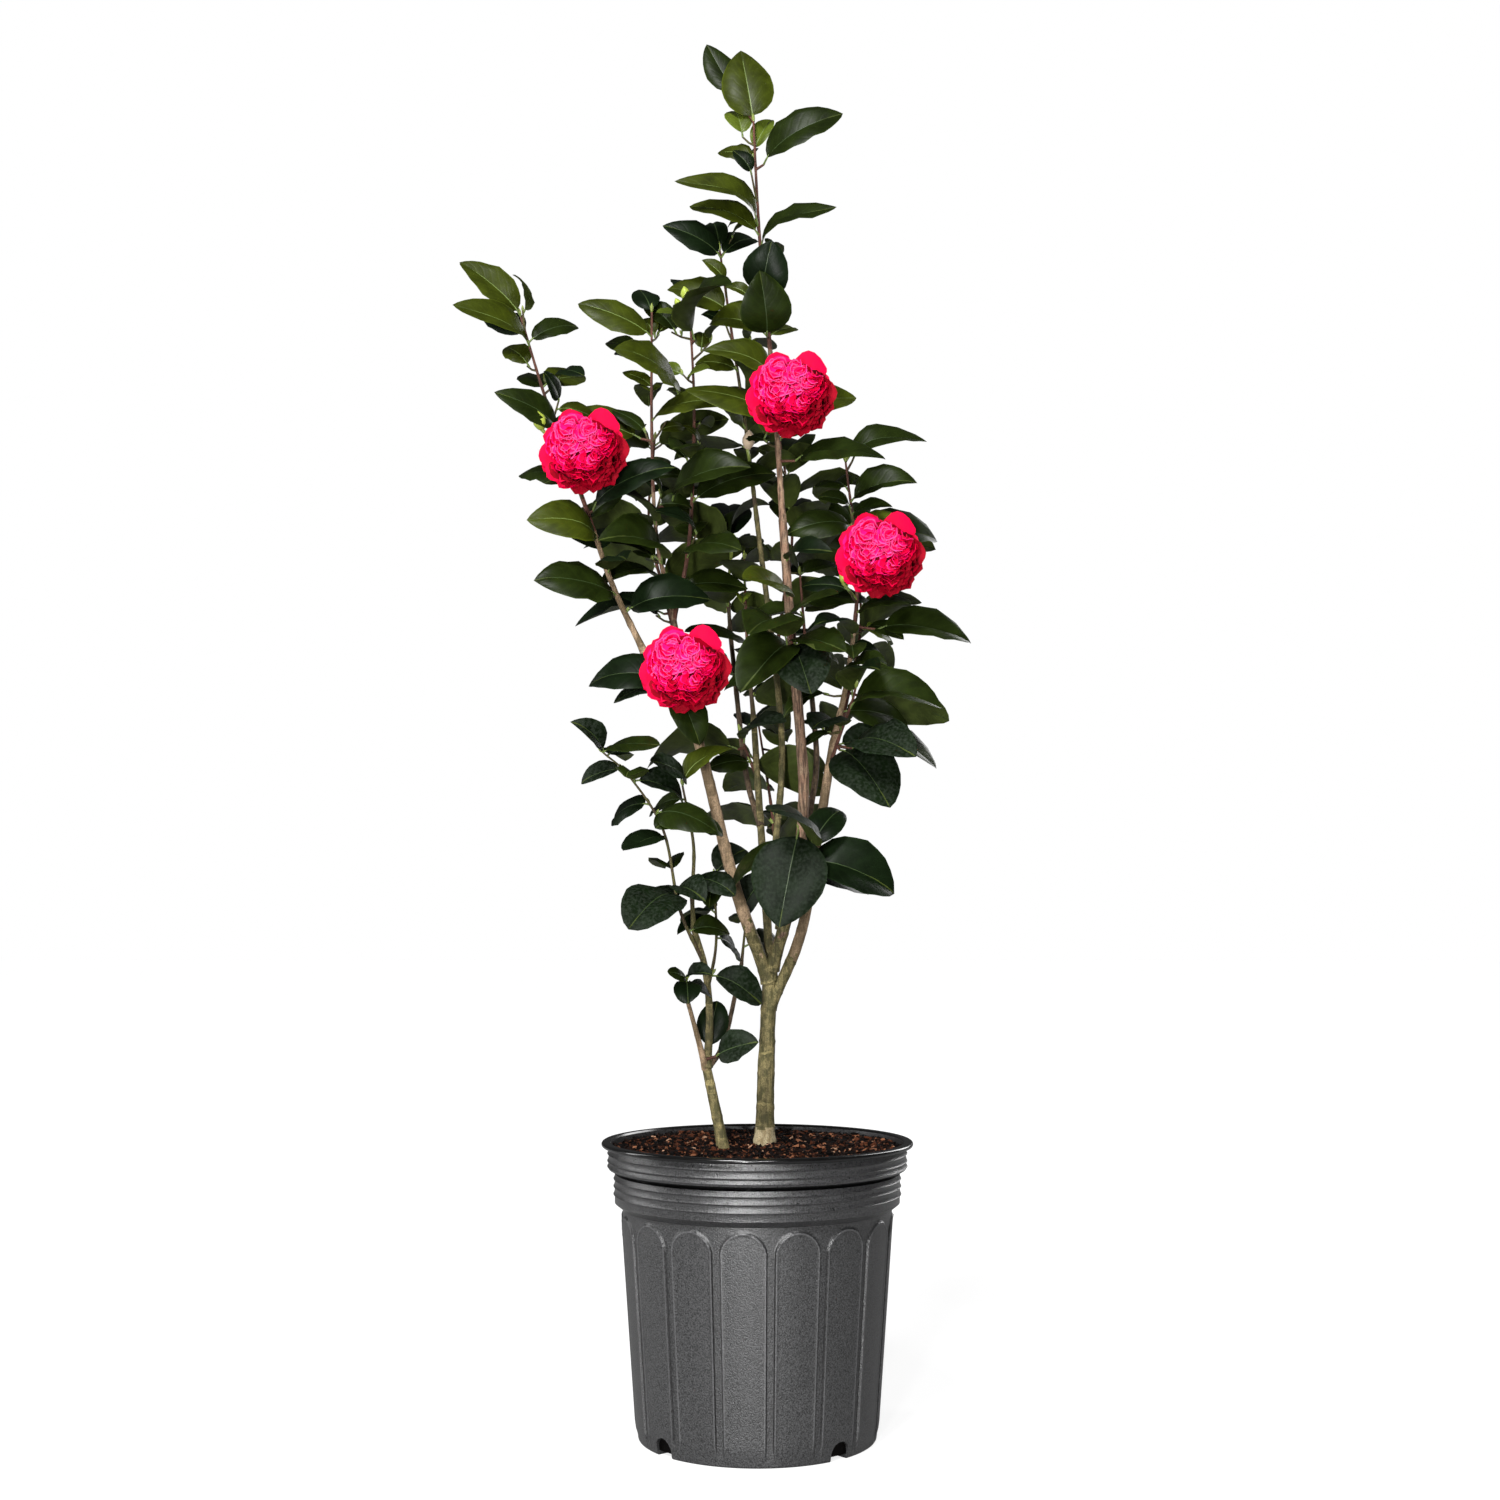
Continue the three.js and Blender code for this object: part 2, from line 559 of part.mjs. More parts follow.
// The outermost leaves. One that would touch a neighbour is tried a little nearer the viewer
// and a little farther off before it is skipped.
function addReachLeaves(mass) {
  const curve = curves.get(mass.name);
  mass.middles = [];
  mass.reach.map(vec).forEach((end, i) => {
    const away = end.distanceTo(pointAtHeight(curve, end.z));
    const height = end.z - away * Math.sin(riseAt(end.z));
    const foot = pointAtHeight(curve, height, bareShare(curve));
    const tries = TIP_SHIFTS.map((shift) => new THREE.Vector3(end.x, end.y + shift, end.z));
    const tip = tries.find((candidate) => addLeaf(mass, foot, candidate, i));
    if (tip) mass.middles.push(foot.clone().lerp(tip, LEAF_MIDDLE));
  });
}

// The leaves that follow the spiral rule up the stem, each clear of the leaves already there.
function addSpiralLeaves(mass, index) {
  const random = seeded(SEED + SEED_STEP * index);
  const spread = (range) => range * (2 * random() - 1);
  const curve = curves.get(mass.name);
  const count = TIP_LEAVES + Math.round(curve.getLength() / LEAF_PITCH) - mass.reach.length;
  for (let i = 0; i < count; i += 1) {
    const share = (i + random()) / count;
    const foot = curve.getPoint(THREE.MathUtils.lerp(bareShare(curve), 1, share));
    const heading = i * SPIRAL + random();
    const rise = riseAt(foot.z) + spread(RISE_SPREAD);
    const out = Math.cos(rise);
    const way = new THREE.Vector3(out * Math.cos(heading), out * Math.sin(heading), Math.sin(rise));
    const leaf = LEAF_LENGTH * (mass.size ?? 1) * (1 + spread(SIZE_SPREAD));
    const twig = i % TWIG_EVERY === 1 && share < TWIG_TOP ? TWIG_REACH : 0;
    const tip = foot.clone().addScaledVector(way, leaf + twig);
    const middle = foot.clone().lerp(tip, LEAF_MIDDLE);
    const crowded = mass.middles.some((other) => other.distanceTo(middle) < LEAF_SPACING);
    if (!crowded && addLeaf(mass, foot, tip, i)) mass.middles.push(middle);
  }
}

buildPot();
buildSoil();
LIMBS.forEach(buildLimb);
MASSES.forEach(buildStem);
MASSES.forEach(addReachLeaves);
MASSES.forEach(addSpiralLeaves);

const finishes = [
  { match: /^pot$/, color: 0x4a4a4a, roughness: 0.5, metalness: 0 },
  { match: /^soil$/, color: 0x3a2018, roughness: 0.95, metalness: 0 },
  { match: /^foliage/, color: 0x2c4416, roughness: 0.35, metalness: 0 },
  { match: /./, color: 0x8f8660, roughness: 0.8, metalness: 0 },
];

const group = new THREE.Group();
for (const [name, solid] of solids) {
  const { color, roughness, metalness } = finishes.find((finish) => finish.match.test(name));
  const body = name.startsWith("foliage") ? mainBody(cutBy(solid, limbRooms)) : solid;
  const material = new THREE.MeshStandardMaterial({ color, roughness, metalness });
  const mesh = new THREE.Mesh(toGeometry(body), material);
  mesh.name = name;
  group.add(mesh);
}

export default group;
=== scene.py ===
"""A camellia shrub in its nursery pot, dressed round its solids. Growth is worked out in millimetres."""

import bisect
import math
import random
from dataclasses import dataclass, field

import bpy
import numpy as np
from bpy.props import FloatProperty, FloatVectorProperty, IntProperty, PointerProperty
from mathutils import Matrix, Vector, noise
from mathutils.bvhtree import BVHTree


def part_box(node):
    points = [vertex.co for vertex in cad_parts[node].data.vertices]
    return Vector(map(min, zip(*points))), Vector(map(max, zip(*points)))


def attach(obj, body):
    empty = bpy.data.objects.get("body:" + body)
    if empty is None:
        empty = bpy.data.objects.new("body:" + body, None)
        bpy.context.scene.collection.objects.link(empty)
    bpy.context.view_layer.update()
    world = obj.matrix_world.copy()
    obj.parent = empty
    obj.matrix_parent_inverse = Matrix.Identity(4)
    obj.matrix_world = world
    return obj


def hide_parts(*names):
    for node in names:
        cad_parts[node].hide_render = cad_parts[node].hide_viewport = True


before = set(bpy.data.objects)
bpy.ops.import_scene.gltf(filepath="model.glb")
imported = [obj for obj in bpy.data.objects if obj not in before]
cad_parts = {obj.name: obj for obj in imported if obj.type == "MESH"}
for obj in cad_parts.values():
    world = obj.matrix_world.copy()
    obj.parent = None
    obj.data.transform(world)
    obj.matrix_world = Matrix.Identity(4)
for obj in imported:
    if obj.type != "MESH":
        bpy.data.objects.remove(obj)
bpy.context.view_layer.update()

bl_info = {
    "name": "Potted Camellia",
    "version": (1, 0, 0),
    "blender": (4, 5, 0),
    "location": "View3D > Sidebar > Camellia",
    "description": "Builds a young camellia shrub in its nursery pot",
    "category": "Add Mesh",
}

MM = 0.001
TOLERANCE = 0.0001
FULL_TURN = 2 * math.pi

# The pot's sizes that its solid gives.
POT_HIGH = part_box("pot")[1]
LIP_RADIUS = POT_HIGH.x / MM
POT_HEIGHT = POT_HIGH.z / MM
SOIL_HEIGHT = round(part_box("soil")[1].z / MM)

# The pot's other sizes, as its solid is made.
WALL = 2.2
FLOOR = 3.0
FOOT_RADIUS = 97.0
FOOT_ROUND = 2.0
BODY_TOP = 184.0
BODY_TOP_RADIUS = 110.5
LOWER_BAND_FOOT = 189.0
LOWER_BAND_TOP = 212.4
LOWER_BAND_RADIUS = 116.8
UPPER_BAND_FOOT = 216.4
UPPER_BAND_RADIUS = 122.0
LIP_FOOT = 234.0
RIB_HEIGHTS = (195.8, 202.2, 208.2, 218.2, 222.6, 228.6)
RIB_RISE = 1.2
RIB_HALF = 1.7
RIB_SLOPES = (1.5, 0.9)
UNDERCUT_RADIUS = 114.5
UNDERCUT_FOOT = 213.2
UNDERCUT_TOP = UPPER_BAND_FOOT - 0.7
PANEL_COUNT = 16
PANEL_ANGLE = math.radians(18.9)
PANEL_TURN = math.radians(-5.9)
PANEL_PITCH = FULL_TURN / PANEL_COUNT
PANEL_RISE = 1.9
PANEL_EDGE = 1.2
EDGE_BAND = math.radians(1.1)
EDGE_COLUMNS = (0, 0.62, 0.92, 1)
PANEL_BEAD = 2.6
PANEL_FLATTEN = 0.7
PANEL_FOOT = 9.0
PANEL_FADE = 6.0
PANEL_TOP = 180.0
DRAIN_COUNT = 4
DRAIN_TURN = math.radians(41)
DRAIN_WIDTH = 18.0
DRAIN_HEIGHT = 15.0
DRAIN_DROP = 8.0
DRAIN_DEPTH = 30
DRAIN_SIDES = 40
COLUMNS_PER_PANEL = 36

# The rows of the pot's mesh. They stand closer together where the panels arch over and on a rib.
UNDERSIDE_RINGS = (50.0, 80.0)
ARC_DEGREES = 22.5
ROW_STEP = 5
ARCH_ROWS_FROM = 150
ARCH_ROW_STEP = 1.2
RIB_ROWS = (-0.97, -0.55, -0.25, 0, 0.25, 0.6)
LIP_NECK = 0.6
LIP_BEVEL = 1.2
LIP_SOFTNESS = 0.1
LIP_DEPTH = 1.4
INNER_ROW = 224.0
BODY_ROW = 90.0
FLOOR_RING = 50.0

# The potting bark: how far it heaps over its level, the gap between it and the wall, its rim, and
# how far the loose chips reach and how clear they keep of the stems.
SOIL_HEAP = 2.6
SOIL_GAP = 0.3
SOIL_RIM = 226.0
SOIL_REACH = 119
SOIL_COLUMNS = 168
SOIL_ROWS = 48
CHIP_REACH = 118
STEM_ROOM = 8

# The heaps in the bark: their sizes and the share of the smaller ones. They flatten by a share
# from a radius outwards.
HEAP_WIDE = 26
HEAP_FINE = 8
HEAP_FINE_SHARE = 0.4
HEAP_EDGE = 104
HEAP_EDGE_SPAN = 15
HEAP_FLATTEN = 0.7

# A chip's width and thickness as shares of its length, how far its corners are knocked in, how it
# tilts, and how far it sinks or stands proud.
CHIP_WIDTHS = (0.3, 0.75)
CHIP_THICKNESSES = (0.14, 0.36)
CHIP_KNOCKS = (0.55, 1.05)
CHIP_ROLL = 0.5
CHIP_PITCH = 0.4
CHIP_LIFTS = (-0.3, 1.0)
CHIP_SMALLNESS = 2.6
CHIP_SEED = 5

# Limbs: the points that each one passes, its radius at the foot and at the tip, its bark, the
# swell of a stem at the ground and how deep its furrows are. A stem starts below the bark chips.
STEM_SINK = 6
FLARE_REACH = 14
COLLAR_REACH = 7


@dataclass
class Limb:
    name: str
    way: list
    radii: tuple
    bark: str
    flare: float = 0.0
    rough: float = 0.03


LIMBS = (
    Limb("main_stem", [(6, 9, 230), (7, 8, 282), (9, 6, 336), (11, 4, 382)], (7.8, 6), "khaki", 3.4),
    Limb("second_stem", [(-26, -18, 230), (-33, -20, 260), (-42, -22, 302)], (4.6, 3.8), "khaki", 2),
    Limb("dead_snag", [(-42, -22, 298), (-49, -32, 326), (-56, -40, 352)], (2.6, 1.7), "tan"),
    Limb("second_upright", [(-41, -22, 299), (-39, -20, 340), (-43, -20, 380), (-52, -30, 412)],
         (3.4, 2.4), "khaki"),
    Limb("second_side", [(-41, -22, 297), (-27, -10, 320), (-13, 18, 382)], (2.2, 1.7), "dark"),
    Limb("bough_right", [(10, 5, 346), (36, 0, 407), (51, 0, 490), (64, 6, 567)], (4.8, 3.6), "tan"),
    Limb("bough_left", [(10, 4, 368), (-18, -14, 445), (-43, -22, 545), (-60, -17, 596),
                        (-95, -8, 643)], (5.4, 3.8), "tan"),
    Limb("bough_leader", [(12, 3, 378), (30, -17, 445), (38, -29, 525), (28, -37, 650),
                          (21, -32, 749)], (5, 3.4), "brown", rough=0.09),
    Limb("bough_centre", [(11, 6, 374), (7, 22, 440), (2, 38, 515), (-3, 52, 594)], (3.8, 2.6),
         "khaki"),
    Limb("bough_inner_left", [(-55, -19, 588), (-64, 2, 636), (-74, 18, 691)], (3, 2.4), "brown"),
    Limb("bough_centre_side", [(3, 34, 498), (-10, 56, 548), (-23, 82, 667)], (2.6, 2), "dark"),
    Limb("bough_back_centre", [(19, -4, 412), (16, 26, 480), (21, 44, 580), (0, 42, 763)],
         (3.2, 2.2), "khaki"),
    Limb("bough_back_right", [(36, -25, 480), (46, -2, 520), (50, 12, 556), (46, 24, 615)],
         (2.8, 2.2), "dark"),
)

# Foliage: each mass has one stem, which goes on from a limb's tip or leaves its side at the
# height `at`. `reach` is where the tips of its outermost leaves come to, and the rest of its
# leaves follow the spiral rule. `size` is the relative size of the leaves near the ground.
STEM_RADII = (2.4, 1.1)
ROUND_SHARE = 0.82


@dataclass
class Mass:
    name: str
    on: str
    way: list
    reach: list = field(default_factory=list)
    at: float = None
    radii: tuple = STEM_RADII
    size: float = 1.0
    bloom: tuple = None


MASSES = (
    Mass("foliage_top", "bough_leader", radii=(3.2, 1.2), bloom=(28, -62, 847),
         way=[(16, -22, 831), (11, -14, 897), (2, -4, 1000), (-3, 0, 1100)],
         reach=[(-14, 24, 1174), (-44, 34, 1184), (73, -14, 1102), (-70, -14, 1043),
                (67, -24, 1017), (-58, 8, 1029), (0, -66, 930), (34, 22, 925), (-45, -40, 889),
                (84, -6, 858), (104, -66, 792), (61, -66, 716), (-12, -88, 690)]),
    Mass("foliage_back_high", "bough_back_centre",
         way=[(-10, 34, 845), (-22, 26, 925), (-32, 16, 993)],
         reach=[(-81, 8, 1012), (-39, 40, 1025), (0, 54, 1013), (-78, 34, 964), (14, 84, 925)]),
    Mass("foliage_left_high", "bough_inner_left",
         way=[(-86, 24, 745), (-90, 20, 830), (-90, 8, 936)],
         reach=[(-153, 6, 943), (-102, 40, 966), (-122, 60, 918), (-132, -34, 731)]),
    Mass("foliage_inner_left", "bough_inner_left", at=672,
         way=[(-58, 22, 740), (-54, 26, 850), (-58, 18, 945)],
         reach=[(-119, -44, 889), (-20, -38, 940), (-50, 60, 976), (-31, -16, 791)]),
    Mass("foliage_left", "bough_left", radii=(3.4, 1.1), bloom=(-143, -40, 805),
         way=[(-121, -4, 698), (-148, 2, 775), (-178, 6, 855), (-201, 0, 930)],
         reach=[(-253, -4, 976), (-253, -26, 928), (-154, 26, 928), (-149, 40, 889),
                (-205, 30, 799), (-190, -40, 747), (-184, -38, 697), (-126, -20, 674)]),
    Mass("foliage_spur", "bough_left", at=604, radii=(2, 1.4), bloom=(-58, -62, 621),
         way=[(-70, -30, 612), (-72, -40, 618)],
         reach=[(-140, -30, 612), (-118, -48, 596), (-47, -40, 561)]),
    Mass("foliage_right_high", "bough_right", radii=(3.2, 1.1), bloom=(102, -36, 719),
         way=[(77, 14, 627), (85, 8, 709), (75, 2, 805)],
         reach=[(144, 4, 823), (55, 36, 823), (134, -16, 783), (155, 40, 745), (131, -20, 681),
                (104, 30, 644)]),
    Mass("foliage_right_low", "bough_right", at=548, radii=(2, 1.2),
         way=[(70, -8, 575), (78, -20, 597), (81, -28, 609)],
         reach=[(126, -84, 548), (146, -40, 542), (150, -50, 590), (107, -56, 509),
                (44, -60, 572)]),
    Mass("foliage_right_back", "bough_back_right",
         way=[(42, 30, 648), (37, 36, 714)],
         reach=[(12, 90, 736), (72, 96, 724), (75, 92, 621)]),
    Mass("foliage_front", "bough_leader", at=640, radii=(1.8, 1.3),
         way=[(28, -54, 644), (24, -72, 656)],
         reach=[(42, -104, 596), (-8, -104, 639), (70, -100, 630), (-14, -108, 598),
                (64, -104, 676)]),
    Mass("foliage_low_front", "bough_leader", at=452, radii=(2, 1.4),
         way=[(35, -36, 462), (42, -56, 474)],
         reach=[(20, -84, 406), (111, -70, 440), (7, -92, 504), (69, -24, 508)]),
    Mass("foliage_centre", "bough_centre",
         way=[(-8, 62, 650), (-11, 62, 732)],
         reach=[(12, 100, 738), (-26, 110, 668), (16, 100, 613)]),
    Mass("foliage_centre_low", "bough_centre", at=540, radii=(1.8, 1.2),
         way=[(-8, 50, 560), (-14, 56, 580)],
         reach=[(-42, 30, 547), (28, 110, 578)]),
    Mass("foliage_bud", "bough_centre_side",
         way=[(-25, 84, 703), (-23, 82, 748)],
         reach=[(-84, 40, 771), (12, 110, 790), (-26, 130, 799), (-38, 24, 699)]),
    Mass("foliage_second", "second_upright", size=0.8,
         way=[(-53, -36, 440), (-52, -37, 480), (-61, -40, 528)],
         reach=[(-86, -74, 546), (-18, -48, 558), (-82, -66, 492), (-28, 10, 487)]),
    Mass("foliage_arch", "second_upright", at=384, radii=(2, 0.9), size=0.65,
         way=[(-63, -42, 428), (-76, -50, 491), (-103, -60, 534), (-124, -66, 553)],
         reach=[(-149, -84, 576), (-77, -90, 557), (-93, -78, 415), (-100, -116, 412)]),
    Mass("foliage_second_back", "second_upright", at=362, radii=(1.8, 1), size=0.7,
         way=[(-34, -4, 400), (-36, 4, 456)],
         reach=[(-10, 30, 478), (-57, 44, 410)]),
    Mass("foliage_snag", "dead_snag", radii=(1.5, 1), size=0.55,
         way=[(-57, -46, 371)],
         reach=[(-72, -60, 378), (-55, -88, 353), (-36, -60, 375)]),
    Mass("foliage_side", "second_side", radii=(1.6, 0.9), size=0.6,
         way=[(-9, 30, 423)],
         reach=[(11, 40, 459), (-28, 70, 453)]),
    Mass("foliage_behind_left", "bough_inner_left", at=640, radii=(2.2, 1.1),
         way=[(-80, 46, 700), (-96, 92, 770), (-92, 112, 850)]),
    Mass("foliage_behind_middle", "bough_back_centre", at=640, radii=(2.2, 1.1),
         way=[(24, 84, 700), (32, 116, 770), (20, 124, 860)]),
    Mass("foliage_behind_right", "bough_right", at=545, radii=(2.2, 1.1),
         way=[(76, 44, 600), (92, 86, 680), (86, 108, 766)]),
    Mass("foliage_behind_low", "bough_back_centre", at=480, radii=(2, 1.1),
         way=[(12, 70, 520), (2, 116, 590)]),
)

# The spiral rule: the turn from one leaf to the next and the share of the stem that is left
# bare at its foot. Leaves point up near the top, lie level at LEVEL_HEIGHT and droop below it.
# These are the solids' own values, so that most leaves stand where the solids' leaves do.
SPIRAL = math.radians(137.5)
BARE_SHARE = 0.15
BARE_LENGTH = 14
LEVEL_HEIGHT = 620
RISE_PER_HEIGHT = 0.0013
RISE_SPREAD = 0.3
SIZE_SPREAD = 0.22
TWIG_EVERY = 4
TWIG_TOP = 0.6
TWIG_REACH = 22
LEAF_MOST = 80
LEAF_MIDDLE = 0.6
LEAF_SPACING = 24
LEAF_PITCH = 15
TIP_LEAVES = 3
SEED = 1201
SEED_STEP = 97
CURVE_SAMPLES = 80
LENGTH_SAMPLES = 200

# A leaf that cuts through another is tried again: its tip nearer the viewer or farther off, then
# with another habit. One too far from its stem grows from the limb, if that is nearer by this.
TIP_SHIFTS = (0, -14, 14, -28, 28, -42, 42)
REACH_TRIES = 3
SPIRAL_TRIES = 4
LIMB_PULL = 12
NEAR_SHARE = 0.6

# How leaves lean towards the viewer, in turn. Those behind BACK_LINE lean away from them, and
# those above LEVEL_HEIGHT lean further, over TOP_SPAN.
FACE_LEANS = (1.2, 0.5, 0.9)
BACK_LINE = 45
TOP_LEAN = 0.8
TOP_SPAN = 400

# Where the old leaves low in the crown begin and the fresh ones near its top, and over what height each
# kind takes over. Their tones are partly the leaves' age and partly painted light and shade: lighter
# near the top, darker low in the crown. The shares of each tone are away from there and fully in there.
LOW_FROM, LOW_SPAN = 700, 300
HIGH_FROM, HIGH_SPAN = 780, 120
SUNLIT_FRESH_SHARES = (0.06, 0.62)
HALF_SHADED_MID_SHARES = (0.75, 0.35)
DUSTY_SHARE = 0.65
DUSTY_FROM = 0.2
YOUNG_FROM = 640
YOUNG_SHARE = 0.2

# The habit of a leaf: what it is drawn from, in this order. Low leaves are wider and blunter.
HABIT_RANGES = {
    "fold": (0.05, 0.55),
    "bow": (0.10, 0.24),
    "peak": (0.38, 0.55),
    "hook": (3, 9),
    "roll": (0.0, 0.3),
    "twist": (-0.5, 0.5),
    "wave": (0.015, 0.06),
    "phase": (0, FULL_TURN),
}
WIDTH_RANGE = (0.88, 1.14)
WIDTH_SHARE = 0.60
LOW_WIDTH = 1.16
HIGH_WIDTH = 0.93
BLUNT_RANGE = (0.0, 0.4)
LOW_BLUNT = 0.4

# The finer twigs: one for this length of stem, each with a few smaller leaves. FINE_STEP is the
# share of the twig between two of its leaves.
FINE_PITCH = 30
FINE_SPAN = (0.12, 0.98)
FINE_TURNS = (1.5, 3.5)
FINE_RISES = (0.0, 0.9)
FINE_LENGTHS = (12, 26)
FINE_LEAVES = (2, 3)
FINE_FANS = (0.9, 1.6)
FINE_LIFTS = (-0.5, 0.5)
FINE_LEAF = (26, 44)
FINE_STEP = 0.25
FINE_SPACING = 15
FINE_SEED = 77
ROOM_MARGIN = 4

# The room that leaves keep clear round a bloom's centre, and how far behind it one may stand.
BLOOM_ROOM = 35
BLOOM_BEHIND = 14

# The crown is thin above BARE_TOP: most spiral leaves are left out, all to the right of BARE_SIDE
# and all whose tips pass BARE_TIP.
BARE_TOP = 880
BARE_TOP_SHARE = 0.75
BARE_TIP = 1062
BARE_SIDE = 20

# Coarse limbs and stems that the leaves are tried against: their rings and sides.
LIMB_RINGS, LIMB_SIDES = 30, 6
STEM_RINGS, STEM_SIDES = 20, 5

# A leaf's blade: its rows along its length and its columns across its half width, as shares, and
# the shape of its edge, its midrib and its keel.
LEAF_ROWS = (0.0, 0.03, 0.09, 0.18, 0.30, 0.43, 0.56, 0.69, 0.80, 0.89, 0.96, 1.0)
LEAF_COLUMNS = (-1.0, -0.52, 0.0, 0.0, 0.52, 1.0)
MIDRIB_COLUMN = 2
PETIOLE_SHARE = 0.07
FOOT_POWER = 0.56
TIP_POWERS = (0.85, 0.5)
TWIST_FROM = 0.4
CROWN = 0.10
RIPPLES = (11, 23)
MIDRIB_HALF = 0.5
MIDRIB_THINNING = 0.6
MIDRIB_SINK = 0.35
MIDRIB_SPOT = 0.01
KEEL = 0.8
KEEL_THINNING = 0.7

# Colours that are no setting: blotches on the bark, the trunk's worn foot, dust, buds and stalks.
KHAKI_BLOTCH = (0.078, 0.070, 0.026)
TAN_BLOTCH = (0.18, 0.125, 0.068)
BROWN_BLOTCH = (0.27, 0.18, 0.115)
WORN_BARK = (0.42, 0.35, 0.21)
WORN_BLOTCH = (0.24, 0.18, 0.09)
GREEN_SHOOT_BLOTCH = (0.10, 0.09, 0.03)
OLD_TAN_BLOTCH = (0.15, 0.10, 0.05)
OLD_BROWN_BLOTCH = (0.33, 0.22, 0.14)
LEAF_DUST = (0.095, 0.115, 0.09)
BUD_SCALES = (0.20, 0.25, 0.05)
FLOWER_BUD_SCALES = (0.36, 0.44, 0.06)
WITHERED_BUD = (0.52, 0.40, 0.28)
BLOOM_STALK = (0.24, 0.11, 0.08)
CALYX = (0.16, 0.17, 0.05)

# Where a finish changes with height or distance, its ramp takes them as shares of these lengths,
# in metres: the pot's matt body, its panels, and the raised edges of the panels.
MATT_SPAN = 0.25
PANEL_SPAN = 0.2
EDGE_SPAN = 0.008


# Settings

def length(name, description, default, least, most):
    """A size in metres that a user can change."""
    return FloatProperty(name=name, description=description, default=default, min=least, max=most,
                         subtype="DISTANCE", unit="LENGTH", precision=4)


def share(name, description, default):
    return FloatProperty(name=name, description=description, default=default, min=0, max=1,
                         subtype="FACTOR")


def colour(name, description, default):
    return FloatVectorProperty(name=name, description=description, default=default, size=3,
                               min=0, max=1, subtype="COLOR")


class PotSettings(bpy.types.PropertyGroup):
    plastic: colour("Plastic", "Colour of the pot", (0.036, 0.036, 0.037))
    # The lip's colour is painted shade: the pot's plastic darkened to near black, which the undercut
    # also takes as a painted shadow line.
    edge: colour("Lip", "Colour of the rolled lip", (0.003, 0.003, 0.003))
    gloss: share("Roughness", "Roughness of the moulded plastic", 0.33)
    stipple: length("Stipple", "Size of the grain on the pot's skin", 0.0011, 0.0002, 0.01)


class BarkFillSettings(bpy.types.PropertyGroup):
    chips: IntProperty(name="Chips", description="Number of loose chips on top", default=11500,
                       min=100, max=12000)
    chip_least: length("Least chip", "Length of the smallest chips", 0.0016, 0.001, 0.01)
    chip_most: length("Largest chip", "Length of the largest chips", 0.0068, 0.002, 0.03)
    unevenness: length("Unevenness", "How far the bark heaps and sinks", 0.0035, 0, 0.01)


class WoodSettings(bpy.types.PropertyGroup):
    ring_step: length("Ring step", "Distance between the rings of a limb's mesh", 0.0022,
                      0.001, 0.02)
    collar: share("Collar", "How much a bough swells where it leaves its limb", 0.4)
    khaki: colour("Trunk bark", "Bark of the trunk", (0.190, 0.156, 0.066))
    tan: colour("Smooth bark", "Bark of the left bough", (0.39, 0.27, 0.165))
    brown: colour("Furrowed bark", "Bark of the leader", (0.245, 0.142, 0.09))
    dark: colour("Shaded bark", "Bark of the inner shoots", (0.075, 0.05, 0.03))
    shoot: colour("Young shoots", "Bark of the uppermost shoots", (0.088, 0.036, 0.024))


class LeafSettings(bpy.types.PropertyGroup):
    leaf_length: length("Leaf length", "Length of a full-grown leaf", 0.064, 0.02, 0.12)
    # Partly the leaves' age and partly painted light and shade: the upper leaves are lighter as painted
    # light, the middle and lower ones darker as painted shade.
    fresh: colour("Upper leaves", "Leaves in the light near the top", (0.031, 0.041, 0.003))
    mid: colour("Middle leaves", "Leaves in the middle of the crown", (0.0100, 0.0165, 0.0022))
    deep: colour("Lower leaves", "Old leaves low in the crown", (0.0040, 0.0085, 0.0026))
    young: colour("Young leaves", "The newest leaves", (0.075, 0.105, 0.010))
    back: colour("Undersides", "The underside of a leaf", (0.040, 0.054, 0.011))
    rib: colour("Midribs", "The midrib and the petiole", (0.125, 0.175, 0.042))
    dull_rib: colour("Old midribs", "The midrib of an old leaf", (0.030, 0.050, 0.015))


class BloomSettings(bpy.types.PropertyGroup):
    radius: length("Radius", "Radius of a bloom", 0.038, 0.01, 0.08)
    depth: length("Depth", "Half the thickness of a bloom", 0.025, 0.01, 0.06)
    # Besides the petals' own colour, these are painted light and shade: highlights on the rims and the
    # lit petals, shade on the low petals and in the hollows.
    rim: colour("Petal rims", "The lit rims of the petals", (1.0, 0.075, 0.30))
    lit: colour("Lit petals", "The petals at the upper left", (1.0, 0.006, 0.16))
    petal: colour("Petals", "The body of the petals", (0.74, 0.0, 0.046))
    shade: colour("Lower petals", "The petals low in the bloom", (0.29, 0.0, 0.010))
    heart: colour("Hearts", "The hollows between the petals", (0.075, 0.0, 0.003))


class StageSettings(bpy.types.PropertyGroup):
    floor: colour("Floor", "Colour of the floor", (0.30, 0.30, 0.30))
    lens: FloatProperty(name="Lens", description="Focal length of the camera in millimetres",
                        default=48, min=10, max=200)


# Shaders

class Value:
    """A socket that stands in sums: each operation on it adds a Math node."""

    def __init__(self, finish, socket):
        self.finish = finish
        self.socket = socket

    def __add__(self, other):
        return self.finish.math("ADD", self, other)

    def __sub__(self, other):
        return self.finish.math("SUBTRACT", self, other)

    def __rsub__(self, other):
        return self.finish.math("SUBTRACT", other, self)

    def __mul__(self, other):
        return self.finish.math("MULTIPLY", self, other)

    def __abs__(self):
        return self.finish.math("ABSOLUTE", self)

    __radd__ = __add__
    __rmul__ = __mul__


